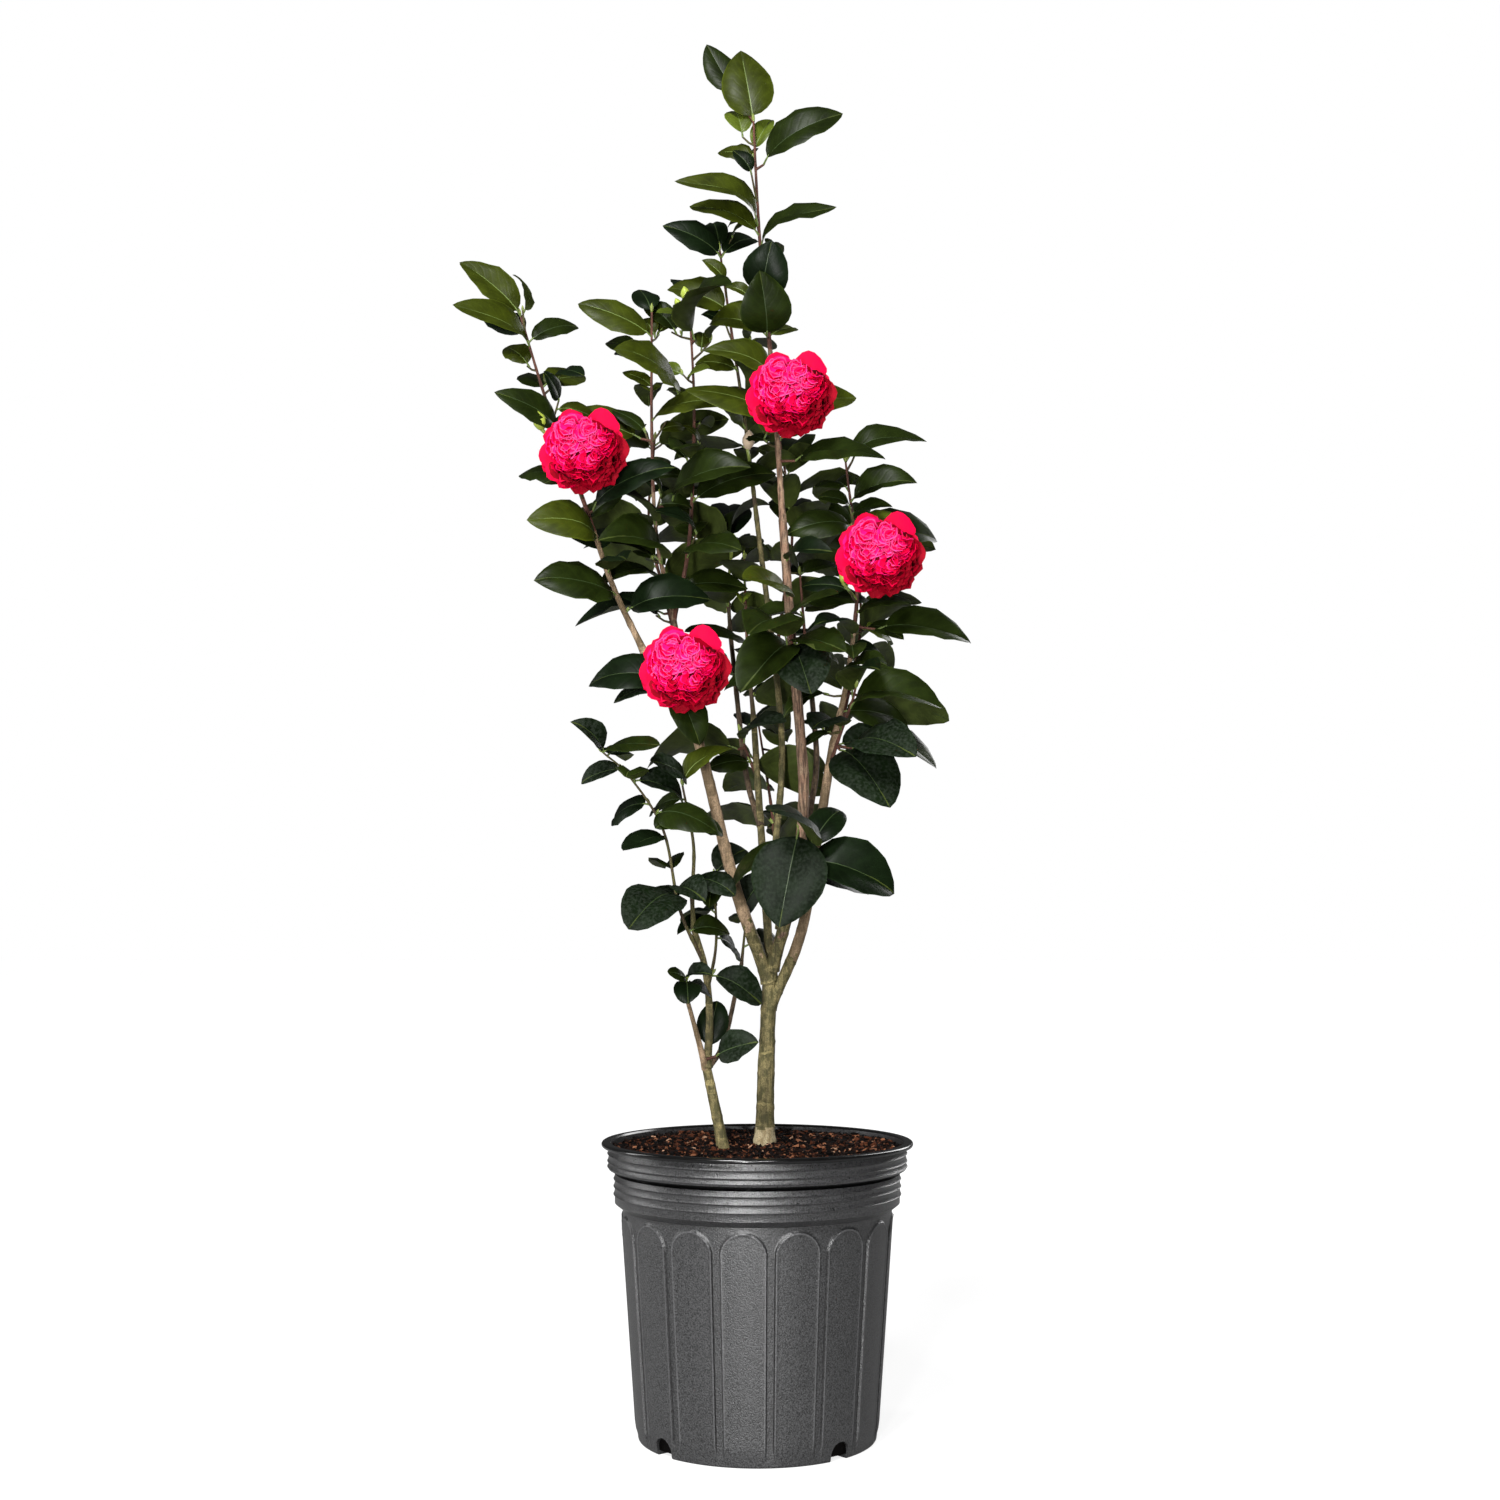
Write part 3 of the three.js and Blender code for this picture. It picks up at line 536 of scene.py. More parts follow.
class Finish:
    """A material under way, with its Principled shader and what feeds it."""

    MIX_FACTOR, MIX_A, MIX_B, MIX_RESULT = 0, 6, 7, 2

    def __init__(self, name, roughness, specular=0.5):
        self.material = bpy.data.materials.new(name)
        self.material.use_nodes = True
        self.tree = self.material.node_tree
        self.shader = self.tree.nodes["Principled BSDF"]
        self.set("Roughness", roughness)
        self.set("Specular IOR Level", specular)

    def connect(self, socket, value):
        if isinstance(value, Value):
            self.tree.links.new(value.socket, socket)
        elif getattr(socket, "type", "") == "RGBA" and len(value) == 3:
            socket.default_value = (*value, 1)
        else:
            socket.default_value = value

    def set(self, name, value):
        """Gives a value, or what a value is worked out from, to a socket of the shader."""
        self.connect(self.shader.inputs[name], value)

    def node(self, kind, settings=None, sockets=None, output=0):
        """Adds a node of a type with its settings and its sockets' values, and gives an output."""
        node = self.tree.nodes.new(kind)
        for name, setting in (settings or {}).items():
            if name == "stops":
                self.set_stops(node.color_ramp.elements, setting)
            else:
                setattr(node, name, setting)
        for name, value in (sockets or {}).items():
            self.connect(node.inputs[name], value)
        return Value(self, node.outputs[output])

    @staticmethod
    def set_stops(elements, stops):
        while len(elements) < len(stops):
            elements.new(0.5)
        for element, (position, level) in zip(elements, stops):
            element.position = position
            element.color = (level, level, level, 1)

    def math(self, operation, *terms):
        return self.node("ShaderNodeMath", {"operation": operation}, dict(enumerate(terms)))

    def mix(self, factor, one, two):
        """A colour between two colours."""
        sockets = {self.MIX_FACTOR: factor, self.MIX_A: one, self.MIX_B: two}
        return self.node("ShaderNodeMix", {"data_type": "RGBA"}, sockets, self.MIX_RESULT)

    def axes(self, output="Object"):
        """The place along X, Y and Z, in metres on the piece, or in its UV map."""
        spot = self.node("ShaderNodeTexCoord", output=output)
        parts = self.node("ShaderNodeSeparateXYZ", None, {"Vector": spot})
        return [Value(self, parts.socket.node.outputs[axis]) for axis in "XYZ"]

    def place(self, stretch=(1, 1, 1)):
        """The place on the piece, in metres, stretched along each axis."""
        spot = self.node("ShaderNodeTexCoord", output="Object")
        return self.node("ShaderNodeMapping", None, {"Vector": spot, "Scale": stretch})

    def speckle(self, size, detail=2.0, stretch=(1, 1, 1)):
        """Noise whose grains are about a size in metres, from 0 to 1."""
        sockets = {"Vector": self.place(stretch), "Scale": 1 / size, "Detail": detail}
        return self.node("ShaderNodeTexNoise", None, sockets)

    def ramp(self, value, *stops):
        """A value run through straight stops of (place, level)."""
        return self.node("ShaderNodeValToRGB", {"stops": stops}, {"Fac": value})

    def bump(self, height, distance, strength=1.0):
        sockets = {"Height": height, "Distance": distance, "Strength": strength}
        self.set("Normal", self.node("ShaderNodeBump", None, sockets))


def dim(shade_of, factor):
    """A colour made darker or lighter."""
    return tuple(min(1.0, channel * factor) for channel in shade_of)


def plastic_finish(name, tone, settings):
    """Moulded plastic with a fine stipple and a trace of dust, more matt on the body, with painted
    highlight and shade along the panels' edges.
    """
    finish = Finish(name, settings.gloss, specular=0.75)
    grain = finish.speckle(settings.stipple)
    height = finish.axes()[2]
    matt = finish.ramp(height * (1 / MATT_SPAN), (0.70, 1), (0.75, 0))
    cloud = finish.speckle(0.05, detail=3)
    dusty = finish.ramp(cloud, (0.35, 0), (0.75, 1))
    base = finish.mix(dusty * 0.5, dim(tone, 1.3), dim(tone, 1.9))
    fleck = finish.ramp(grain, (0.34, 0), (0.64, 1))
    stippled = finish.mix(fleck, dim(tone, 0.12), base)
    finish.set("Base Color", painted_panel_edge_light_and_shade(finish, stippled, tone))
    finish.set("Roughness", grain * 0.2 + matt * 0.14 + (settings.gloss - 0.12))
    finish.bump(grain, distance=0.0006, strength=0.6)
    return finish.material


def lip_shade_finish(name, tone):
    """The lip is the same plastic, polished by handling, its colour darkened to near black as painted
    shade; the undercut below the upper band takes it as a painted shadow line.
    """
    finish = Finish(name, 0.2)
    smear = finish.speckle(0.012, detail=3)
    finish.set("Base Color", finish.mix(smear, dim(tone, 0.6), dim(tone, 1.6)))
    finish.set("Roughness", smear * 0.2 + 0.1)
    return finish.material


def painted_panel_edge_light_and_shade(finish, base, tone):
    """Paints a highlight along the panels' raised edges and a shade line in the hollows round them."""
    x, y, z = finish.axes()
    half_angle = PANEL_ANGLE / 2
    spring = (PANEL_TOP - body_radius(PANEL_TOP) * half_angle) * MM
    turn = finish.math("ARCTAN2", x, y * -1) + (FULL_TURN - PANEL_TURN + PANEL_PITCH / 2)
    offset = abs(finish.math("MODULO", turn, PANEL_PITCH) - PANEL_PITCH / 2)
    slope = (BODY_TOP_RADIUS - FOOT_RADIUS) / BODY_TOP
    low = finish.math("MINIMUM", z, spring)
    half = (low * slope + FOOT_RADIUS * MM) * half_angle
    sideways = offset * (z * slope + FOOT_RADIUS * MM)
    over = finish.math("MAXIMUM", z - spring, 0)
    inside = half - finish.math("SQRT", sideways * sideways + over * over)
    place = inside * (1 / EDGE_SPAN) + 0.5
    # A painted highlight just inside each raised edge, and a painted shade line just outside it.
    light = finish.ramp(place, (0.53, 0), (0.59, 1), (0.64, 1), (0.72, 0))
    dark = finish.ramp(place, (0.36, 0), (0.42, 1), (0.47, 1), (0.52, 0))
    on_body = finish.ramp(z * (1 / PANEL_SPAN), (0.05, 0), (0.10, 1), (0.905, 1), (0.915, 0))
    base = finish.mix(dark * on_body * 0.75, base, dim(tone, 0.12))
    return finish.mix(light * on_body * 0.45, base, dim(tone, 3.2))


def chip_finish(name, tone):
    """Composted bark, rough and fibrous."""
    finish = Finish(name, 0.85, specular=0.1)
    fibre = finish.speckle(0.0012, detail=3, stretch=(1, 1, 2.5))
    finish.set("Base Color", finish.mix(fibre, dim(tone, 0.45), dim(tone, 1.5)))
    finish.bump(fibre, distance=0.0006, strength=0.6)
    return finish.material


def bark_finish(name, tone, blotch, blotch_size, furrow, ring=0.0, pale=1.7):
    """Bark with blotches, lengthwise furrows and pale rings."""
    finish = Finish(name, 0.75, specular=0.3)
    cloud = finish.speckle(blotch_size, detail=5, stretch=(1, 1, 0.6))
    streak = finish.speckle(0.0018, detail=4, stretch=(1, 1, 0.10))
    band = finish.speckle(0.0045, detail=3, stretch=(0.25, 0.25, 1))
    grain = finish.speckle(0.0010)
    patch = finish.ramp(cloud, (0.44, 0), (0.56, 1))
    base = finish.mix(patch, tone, blotch)
    worn = finish.ramp(band, (0.58, 0), (0.70, 1))
    ringed = finish.mix(worn * ring, base, dim(tone, pale))
    pitted = finish.mix(finish.ramp(grain, (0.40, 1), (0.52, 0)) * 0.5, ringed, dim(blotch, 0.4))
    line = finish.ramp(streak, (0.40, 1), (0.54, 0))
    finish.set("Base Color", finish.mix(line * furrow, pitted, dim(tone, 0.18)))
    finish.bump(streak * 1.2 + cloud * 0.5 + grain * 0.3, distance=0.0012, strength=0.8)
    return finish.material


def leaf_finish(name, tone, roughness, gloss, dust=0.0):
    """A leathery leaf blade with side veins, and dust where it is old."""
    finish = Finish(name, roughness, specular=gloss)
    column, along, _ = finish.axes("UV")
    outward = abs(column - 0.5)
    stray = finish.speckle(0.012)
    vein = finish.math("SINE", (along * 3.6 - outward * 2.6 + stray * 0.35) * FULL_TURN)
    ridge = finish.math("POWER", abs(vein), 10)
    cloud = finish.speckle(0.016, detail=4)
    base = finish.mix(finish.ramp(cloud, (0.3, 0), (0.7, 1)), dim(tone, 0.6), dim(tone, 1.4))
    veined = finish.mix(ridge * 0.10, base, dim(tone, 2.4))
    margin = finish.ramp(outward, (0.46, 0), (0.49, 1))
    veined = finish.mix(margin * 0.4, veined, dim(tone, 3.0))
    if dust:
        film = finish.speckle(0.0026, detail=6)
        smear = finish.ramp(film, (0.42, 0), (0.74, 1))
        veined = finish.mix(smear * dust, veined, LEAF_DUST)
        finish.set("Roughness", roughness + smear * 0.25)
    finish.set("Base Color", veined)
    finish.bump(cloud - ridge * 0.12, distance=0.0010, strength=0.4)
    return finish.material


def plain_growth_finish(name, tone, roughness=0.5):
    """Green growth that is too small for a pattern: petioles, midribs, buds and undersides."""
    finish = Finish(name, roughness, specular=0.4)
    cloud = finish.speckle(0.006, detail=3)
    finish.set("Base Color", finish.mix(cloud, dim(tone, 0.75), dim(tone, 1.3)))
    finish.bump(cloud, distance=0.0003, strength=0.3)
    return finish.material


def petal_finish(name, tone):
    """A soft petal with fine veins."""
    finish = Finish(name, 0.6, specular=0.06)
    vein = finish.speckle(0.0018, detail=3, stretch=(1, 1, 0.4))
    finish.set("Base Color", finish.mix(vein, dim(tone, 0.85), dim(tone, 1.12)))
    finish.bump(vein, distance=0.0004, strength=0.35)
    return finish.material


# Mesh helpers

class Patchwork:
    """Gathers small meshes into one piece: corners in millimetres, faces and their finishes."""

    def __init__(self):
        self.corners = []
        self.faces = []
        self.finishes = []
        self.spots = []

    def add(self, corners, faces, finishes, spots=None):
        first = len(self.corners)
        self.corners.extend(corners)
        self.spots.extend(spots or [(0.5, 0.5)] * len(corners))
        self.faces.extend([tuple(first + corner for corner in face) for face in faces])
        if isinstance(finishes, int):
            finishes = [finishes] * len(faces)
        self.finishes.extend(finishes)

    def tree(self):
        return BVHTree.FromPolygons(self.corners, self.faces)

    def piece(self, name, materials, smooth_angle=None):
        """Makes the mesh object, in metres, with its finishes and its UV map."""
        mesh = bpy.data.meshes.new(name)
        mesh.from_pydata([Vector(corner) * MM for corner in self.corners], [], self.faces)
        for material in materials:
            mesh.materials.append(material)
        mesh.polygons.foreach_set("material_index", self.finishes)
        layer = mesh.uv_layers.new(name="UVMap")
        loop_corners = np.empty(len(mesh.loops), dtype=np.int32)
        mesh.loops.foreach_get("vertex_index", loop_corners)
        layer.data.foreach_set("uv", np.array(self.spots)[loop_corners].ravel())
        mesh.validate()
        piece = bpy.data.objects.new(name, mesh)
        bpy.context.collection.objects.link(piece)
        choose(piece)
        if smooth_angle is not None:
            bpy.ops.object.shade_smooth_by_angle(angle=smooth_angle)
        return piece


def choose(piece):
    """Makes a piece the only selected one, and the active one."""
    bpy.ops.object.select_all(action="DESELECT")
    piece.select_set(True)
    bpy.context.view_layer.objects.active = piece


def hand_over(piece, slot, *nodes):
    """Sets a finished piece in the frame in place of its solids."""
    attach(piece, "root")
    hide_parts(*nodes)


def smooth_step(value):
    value = min(1.0, max(0.0, value))
    return value * value * (3 - 2 * value)


def blend(one, two, weight):
    return one + (two - one) * weight


def seeded(seed):
    """The solids' own generator of numbers from 0 to 1."""
    state = seed
    while True:
        state = (state * 16807) % 2147483647
        yield state / 2147483647


class Curve:
    """A smooth curve through points, bent as the solids' limbs are."""

    def __init__(self, points):
        self.points = [Vector(point) for point in points]
        self.samples = [self.at(i / LENGTH_SAMPLES) for i in range(LENGTH_SAMPLES + 1)]
        self.lengths = [0.0]
        for one, two in zip(self.samples, self.samples[1:]):
            self.lengths.append(self.lengths[-1] + (two - one).length)
        self.length = self.lengths[-1]

    def at(self, place):
        """The point at a share of the curve's parameter."""
        spans = len(self.points) - 1
        index = min(int(place * spans), spans - 1)
        weight = place * spans - index
        one, two = self.points[index], self.points[index + 1]
        before = self.points[index - 1] if index > 0 else 2 * one - two
        after = self.points[index + 2] if index + 2 <= spans else 2 * two - one
        square, cube = weight ** 2, weight ** 3
        return (one * (2 * cube - 3 * square + 1) + (two - before) * (cube - 2 * square + weight) / 2
                + two * (3 * square - 2 * cube) + (after - one) * (cube - square) / 2)

    def along(self, part):
        """The point at a share of the curve's length."""
        target = part * self.length
        index = max(1, min(bisect.bisect_left(self.lengths, target), LENGTH_SAMPLES))
        span = self.lengths[index] - self.lengths[index - 1]
        return self.samples[index - 1].lerp(
            self.samples[index], (target - self.lengths[index - 1]) / span)

    def path(self, rings):
        """Points at equal steps along the curve, from its foot to its tip."""
        return [self.along(i / rings) for i in range(rings + 1)]

    def at_height(self, height, start=0.0):
        """The point that lies nearest a height, from a share of the curve onwards."""
        points = [self.at(blend(start, 1, i / CURVE_SAMPLES)) for i in range(CURVE_SAMPLES + 1)]
        return min(points, key=lambda point: abs(point.z - height))

    def bare_share(self):
        return max(BARE_SHARE, BARE_LENGTH / self.length)


def across(way):
    """Some direction square to another."""
    helper = Vector((0, 1, 0)) if abs(way.y) < 0.8 else Vector((1, 0, 0))
    return way.cross(helper).normalized()


def sweep(patchwork, path, radius_at, sides, finish, relief=None):
    """Adds a round limb along a path of points, with both of its ends closed.

    The finish is a number, or a rule that gives it for a point and a run from the foot."""
    count = len(path)
    tangents = [(path[min(i + 1, count - 1)] - path[max(i - 1, 0)]).normalized()
                for i in range(count)]
    normal = across(tangents[0])
    corners, faces, finishes = [], [], []
    run = 0.0
    runs = []
    for i, point in enumerate(path):
        if i:
            run += (point - path[i - 1]).length
        runs.append(run)
        normal = (normal - tangents[i] * normal.dot(tangents[i])).normalized()
        other = tangents[i].cross(normal)
        for j in range(sides):
            turn = FULL_TURN * j / sides
            radius = radius_at(i / (count - 1), run)
            out = normal * math.cos(turn) + other * math.sin(turn)
            if relief:
                radius *= 1 + relief(point, out, turn, run)
            corners.append(point + out * radius)
    for i in range(count - 1):
        for j in range(sides):
            k = (j + 1) % sides
            faces.append((i * sides + j, i * sides + k, (i + 1) * sides + k, (i + 1) * sides + j))
            if callable(finish):
                finishes.append(finish(corners[i * sides + j], runs[i]))
    tip = radius_at(1, run)
    corners.append(path[-1] + tangents[-1] * tip * 0.7)
    corners.append(path[0] - tangents[0] * radius_at(0, 0) * 0.3)
    last = (count - 1) * sides
    for j in range(sides):
        k = (j + 1) % sides
        faces.append((last + j, last + k, count * sides))
        faces.append((k, j, count * sides + 1))
        if callable(finish):
            finishes.extend((finish(corners[last], run), finish(corners[0], 0)))
    patchwork.add(corners, faces, finishes or finish)


# Growth

@dataclass
class Leaf:
    foot: Vector
    tip: Vector
    stalk: float
    lean: float
    tone: int
    fold: float
    bow: float
    peak: float
    hook: float
    roll: float
    twist: float
    wave: float
    phase: float
    width: float
    blunt: float


# The first four leaf finishes are lighter near the top as painted light and darker low down as painted
# shade, besides the leaves' age; the dusty ones also carry real dust.
SUNLIT_FRESH, HALF_SHADED_MID, SHADED_OLD, SHADED_DUSTY, YOUNG, RIB, DULL_RIB, BACK = range(8)


def leaf_frame(leaf):
    """The directions of a leaf: along it, across it, and out of its face."""
    chord = (leaf.tip - leaf.foot).normalized()
    face = Vector((0, -leaf.lean, 1))
    face = (face - chord * face.dot(chord)).normalized()
    return chord, chord.cross(face), face


def leaf_spine(leaf, part):
    """A point on the midline of a leaf, where part runs from the end of its twig to its tip."""
    chord, _, face = leaf_frame(leaf)
    reach = (leaf.tip - leaf.foot).length - leaf.stalk
    rise = (part / leaf.peak) * math.exp(1 - part / leaf.peak) * (1 - part ** leaf.hook)
    return leaf.foot + chord * (leaf.stalk + part * reach) + face * (rise * leaf.bow * reach)


def outline(part, blunt):
    """Half the width of a leaf at a share of its length, where 1 is its widest."""
    low, high = FOOT_POWER, blend(*TIP_POWERS, blunt)
    widest = low / (low + high)
    return (part ** low * (1 - part) ** high) / (widest ** low * (1 - widest) ** high)


def blade_lift(leaf, part, out, span, rib_side):
    """How far a place on the blade stands above its midline, `out` of the way to the edge."""
    lift = leaf.fold * out * span
    lift += CROWN * span * (1 - (2 * out - 1) ** 2)
    lift -= leaf.roll * out ** 3 * span
    long_wave, short_wave = RIPPLES
    ripple = math.sin(part * long_wave + leaf.phase + rib_side)
    ripple += math.sin(part * short_wave + leaf.phase)
    lift += leaf.wave * out ** 2 * span * ripple
    return lift if out else lift - MIDRIB_SINK


def blade_faces(leaf):
    """The faces between the rows of a blade, and their finishes."""
    rib_tone = RIB if leaf.tone in (SUNLIT_FRESH, YOUNG) else DULL_RIB
    last = len(LEAF_COLUMNS) - 1
    keel = last + 1
    faces, finishes = [], []
    for row in range(len(LEAF_ROWS) - 1):
        here, there = row * (keel + 1), (row + 1) * (keel + 1)
        for i in range(last):
            faces.append((here + i, here + i + 1, there + i + 1, there + i))
            finishes.append(rib_tone if i == MIDRIB_COLUMN else leaf.tone)
        faces.append((here + last, here + keel, there + keel, there + last))
        faces.append((here + keel, here, there, there + keel))
        finishes.extend((BACK, BACK))
    return faces, finishes


def leaf_mesh(leaf):
    """A closed blade: a folded upper face with a sunken midrib, and an underside with a keel."""
    _, side, face = leaf_frame(leaf)
    reach = (leaf.tip - leaf.foot).length - leaf.stalk
    half = reach * (1 - PETIOLE_SHARE) * leaf.width / 2
    corners, spots = [], []
    for part in LEAF_ROWS:
        middle = leaf_spine(leaf, PETIOLE_SHARE + (1 - PETIOLE_SHARE) * part)
        turn = leaf.twist * (part - TWIST_FROM)
        wide = side * math.cos(turn) + face * math.sin(turn)
        up = face * math.cos(turn) - side * math.sin(turn)
        span = half * outline(part, leaf.blunt)
        rib = min(MIDRIB_HALF * (1 - MIDRIB_THINNING * part), span)
        for index, place in enumerate(LEAF_COLUMNS):
            rib_side = -1 if index <= MIDRIB_COLUMN else 1
            offset = place * span if place else rib_side * rib
            lift = blade_lift(leaf, part, abs(place), span, rib_side)
            corners.append(middle + wide * offset + up * lift)
            spots.append((0.5 + (place / 2 if place else rib_side * MIDRIB_SPOT), part))
        corners.append(middle - up * KEEL * (1 - KEEL_THINNING * part))
        spots.append((0.5, part))
    return corners, *blade_faces(leaf), spots


# The habit of the leaves that show most, by their mass and their place in its reach.
HABITS = {
    ("foliage_top", 0): {"lean": 3.0, "fold": 0.16, "bow": 0.06, "width": 0.62, "tone": SUNLIT_FRESH},
    ("foliage_top", 1): {"lean": 3.0, "bow": -0.03, "width": 0.5, "stalk": 36, "tone": HALF_SHADED_MID},
    ("foliage_top", 2): {"lean": 1.3, "fold": 0.42, "bow": 0.14, "width": 0.60, "tone": HALF_SHADED_MID,
                         "stalk": 8},
    ("foliage_top", 3): {"lean": 0.9, "fold": 0.3, "bow": 0.24, "hook": 3, "width": 0.52},
    ("foliage_top", 4): {"lean": 0.8, "fold": 0.3, "bow": 0.22, "hook": 3, "width": 0.50},
    ("foliage_top", 5): {"lean": 1.0, "fold": 0.4, "bow": 0.16, "width": 0.50},
    ("foliage_top", 6): {"lean": 2.0, "fold": 0.15, "bow": 0.2, "width": 0.84, "tone": HALF_SHADED_MID,
                         "foot": (8, -18, 908), "tip": (2, -50, 954)},
    ("foliage_left", 0): {"lean": 1.6, "fold": 0.3, "bow": 0.12, "width": 0.5, "tone": SUNLIT_FRESH},
    ("foliage_left", 1): {"lean": 1.4, "fold": 0.35, "bow": 0.14, "width": 0.46, "tone": SUNLIT_FRESH},
    ("foliage_left", 5): {"lean": 1.8, "fold": 0.2, "tone": SUNLIT_FRESH},
    ("foliage_inner_left", 0): {"lean": 1.4, "fold": 0.3, "bow": 0.16, "width": 0.62},
    ("foliage_right_high", 0): {"lean": 1.0, "fold": 0.3, "bow": 0.24, "hook": 3, "width": 0.5},
    ("foliage_right_low", 0): {"lean": 1.3, "fold": 0.2, "width": 0.62, "tone": SHADED_DUSTY},
    ("foliage_front", 0): {"lean": 1.6, "fold": 0.25, "width": 0.70, "tone": SHADED_DUSTY},
    ("foliage_low_front", 0): {"lean": 1.2, "fold": 0.2, "bow": 0.05, "width": 0.82, "tone": SHADED_DUSTY,
                               "blunt": 0.1, "twist": 0.3, "foot": (33, -62, 491),
                               "tip": (17, -76, 413)},
    ("foliage_low_front", 1): {"lean": 1.2, "fold": 0.3, "width": 0.72, "tone": SHADED_OLD},
}


# Leaves that follow no rule: the mass, the foot, the tip and the habit of each one.
STRAYS = (
    ("foliage_top", (6, -14, 942), (12, -48, 980),
     {"lean": 2.0, "fold": 0.15, "bow": 0.2, "width": 0.84, "tone": SHADED_OLD, "stalk": 0}),
    ("foliage_snag", (-41, -26, 306), (1, -46, 321),
     {"lean": 1.6, "fold": 0.2, "bow": 0.12, "width": 0.80, "blunt": 0.5, "tone": SHADED_DUSTY, "stalk": 9}),
    ("foliage_snag", (-41, -16, 312), (-33, -2, 352),
     {"lean": 2.0, "fold": 0.2, "bow": 0.1, "width": 0.68, "tone": SHADED_OLD, "stalk": 2}),
)


class Shrub:
    """The growth of the plant: the curves of its limbs and stems, its leaves and its side twigs."""

    def __init__(self, leaf_length):
        self.leaf_length = leaf_length
        self.curves = {}
        self.leaves = []
        self.trees = []
        self.twigs = []
        self.middles = {}
        self.grow_limbs()
        self.grow_stems()
        for mass in MASSES:
            self.grow_reach(mass)
        self.grow_strays()
        for index, mass in enumerate(MASSES):
            self.grow_spiral(mass, index)
        for index, mass in enumerate(MASSES):
            self.grow_fine(mass, index)

    def grow_limbs(self):
        self.wood = Patchwork()
        for limb in LIMBS:
            points = [Vector(point) for point in limb.way]
            if points[0].z == SOIL_HEIGHT:
                points[0].z -= STEM_SINK
            curve = Curve(points)
            self.curves[limb.name] = curve
            sweep(self.wood, curve.path(LIMB_RINGS), taper(limb.radii, limb.flare), LIMB_SIDES, 0)

    def grow_stems(self):
        for mass in MASSES:
            parent = self.curves[mass.on]
            start = parent.at_height(mass.at) if mass.at else parent.at(1)
            curve = Curve([start, *mass.way])
            self.curves[mass.name] = curve
            sweep(self.wood, curve.path(STEM_RINGS), taper(stem_radii(mass)), STEM_SIDES, 0)
        self.wood_tree = self.wood.tree()

    @staticmethod
    def rise_at(height):
        """How steeply leaves rise at a height: below LEVEL_HEIGHT they droop."""
        return (height - LEVEL_HEIGHT) * RISE_PER_HEIGHT

    @staticmethod
    def pick_tone(low, high, variety):
        """The finish of a leaf that is a share of the way into the low and the high crown: painted light
        near the top and painted shade low down, besides the leaves' age.
        """
        pick = variety.random()
        if pick < blend(*SUNLIT_FRESH_SHARES, high) * (1 - low):
            return SUNLIT_FRESH
        if pick < blend(*HALF_SHADED_MID_SHARES, low):
            return HALF_SHADED_MID
        return SHADED_DUSTY if low > DUSTY_FROM and variety.random() < DUSTY_SHARE else SHADED_OLD

    def make_leaf(self, foot, tip, index, variety):
        """A leaf between two points, with the habit of its height."""
        back = foot.y + tip.y > 2 * BACK_LINE
        lean = FACE_LEANS[index % len(FACE_LEANS)] * (-1 if back else 1)
        lean += TOP_LEAN * smooth_step((tip.z - LEVEL_HEIGHT) / TOP_SPAN)
        low = smooth_step((LOW_FROM - tip.z) / LOW_SPAN)
        high = smooth_step((tip.z - HIGH_FROM) / HIGH_SPAN)
        tone = self.pick_tone(low, high, variety)
        habit = {name: variety.uniform(*limits) for name, limits in HABIT_RANGES.items()}
        width = variety.uniform(*WIDTH_RANGE) * WIDTH_SHARE
        width *= blend(1.0, LOW_WIDTH, low)
        width *= blend(1.0, HIGH_WIDTH, high)
        blunt = variety.uniform(*BLUNT_RANGE) + LOW_BLUNT * low
        stalk = max(0.0, (tip - foot).length - LEAF_MOST)
        return Leaf(foot=foot, tip=tip, stalk=stalk, lean=lean, tone=tone, width=width, blunt=blunt,
                    **habit)

    @staticmethod
    def room(mass, leaf):
        """Whether a leaf stays within its mass's box."""
        low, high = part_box(mass.name)
        for point in (leaf.tip, leaf_spine(leaf, 0.5)):
            for axis in range(3):
                if not low[axis] / MM - ROOM_MARGIN <= point[axis] <= high[axis] / MM + ROOM_MARGIN:
                    return False
        return True

    @staticmethod
    def hides_bloom(corners):
        """Whether a leaf stands in a bloom or before it."""
        for mass in MASSES:
            if mass.bloom:
                x, y, z = mass.bloom
                for corner in corners:
                    away = math.hypot(corner.x - x, corner.z - z)
                    if corner.y < y + BLOOM_BEHIND and away < BLOOM_ROOM:
                        return True
        return False

    def fits(self, leaf):
        """The mesh of a leaf if it cuts through no limb, no bloom and no other leaf."""
        corners, faces, finishes, spots = leaf_mesh(leaf)
        if self.hides_bloom(corners):
            return None
        tree = BVHTree.FromPolygons(corners, faces)
        if tree.overlap(self.wood_tree):
            return None
        middle = leaf_spine(leaf, 0.5)
        size = (leaf.tip - leaf.foot).length
        for other_middle, other_size, other in self.trees:
            near = (middle - other_middle).length < (size + other_size) * NEAR_SHARE
            if near and tree.overlap(other):
                return None
        return corners, faces, finishes, spots, tree, middle, size

    def crowded(self, mass, middle, spacing):
        """Whether the middle of a new leaf is too near another of its mass."""
        return any((middle - other).length < spacing for other in self.middles[mass.name])

    def keep(self, mass, leaf, mesh):
        corners, faces, finishes, spots, tree, middle, size = mesh
        self.trees.append((middle, size, tree))
        self.leaves.append((leaf, (corners, faces, finishes, spots)))
        self.middles.setdefault(mass.name, []).append(leaf.foot.lerp(leaf.tip, LEAF_MIDDLE))

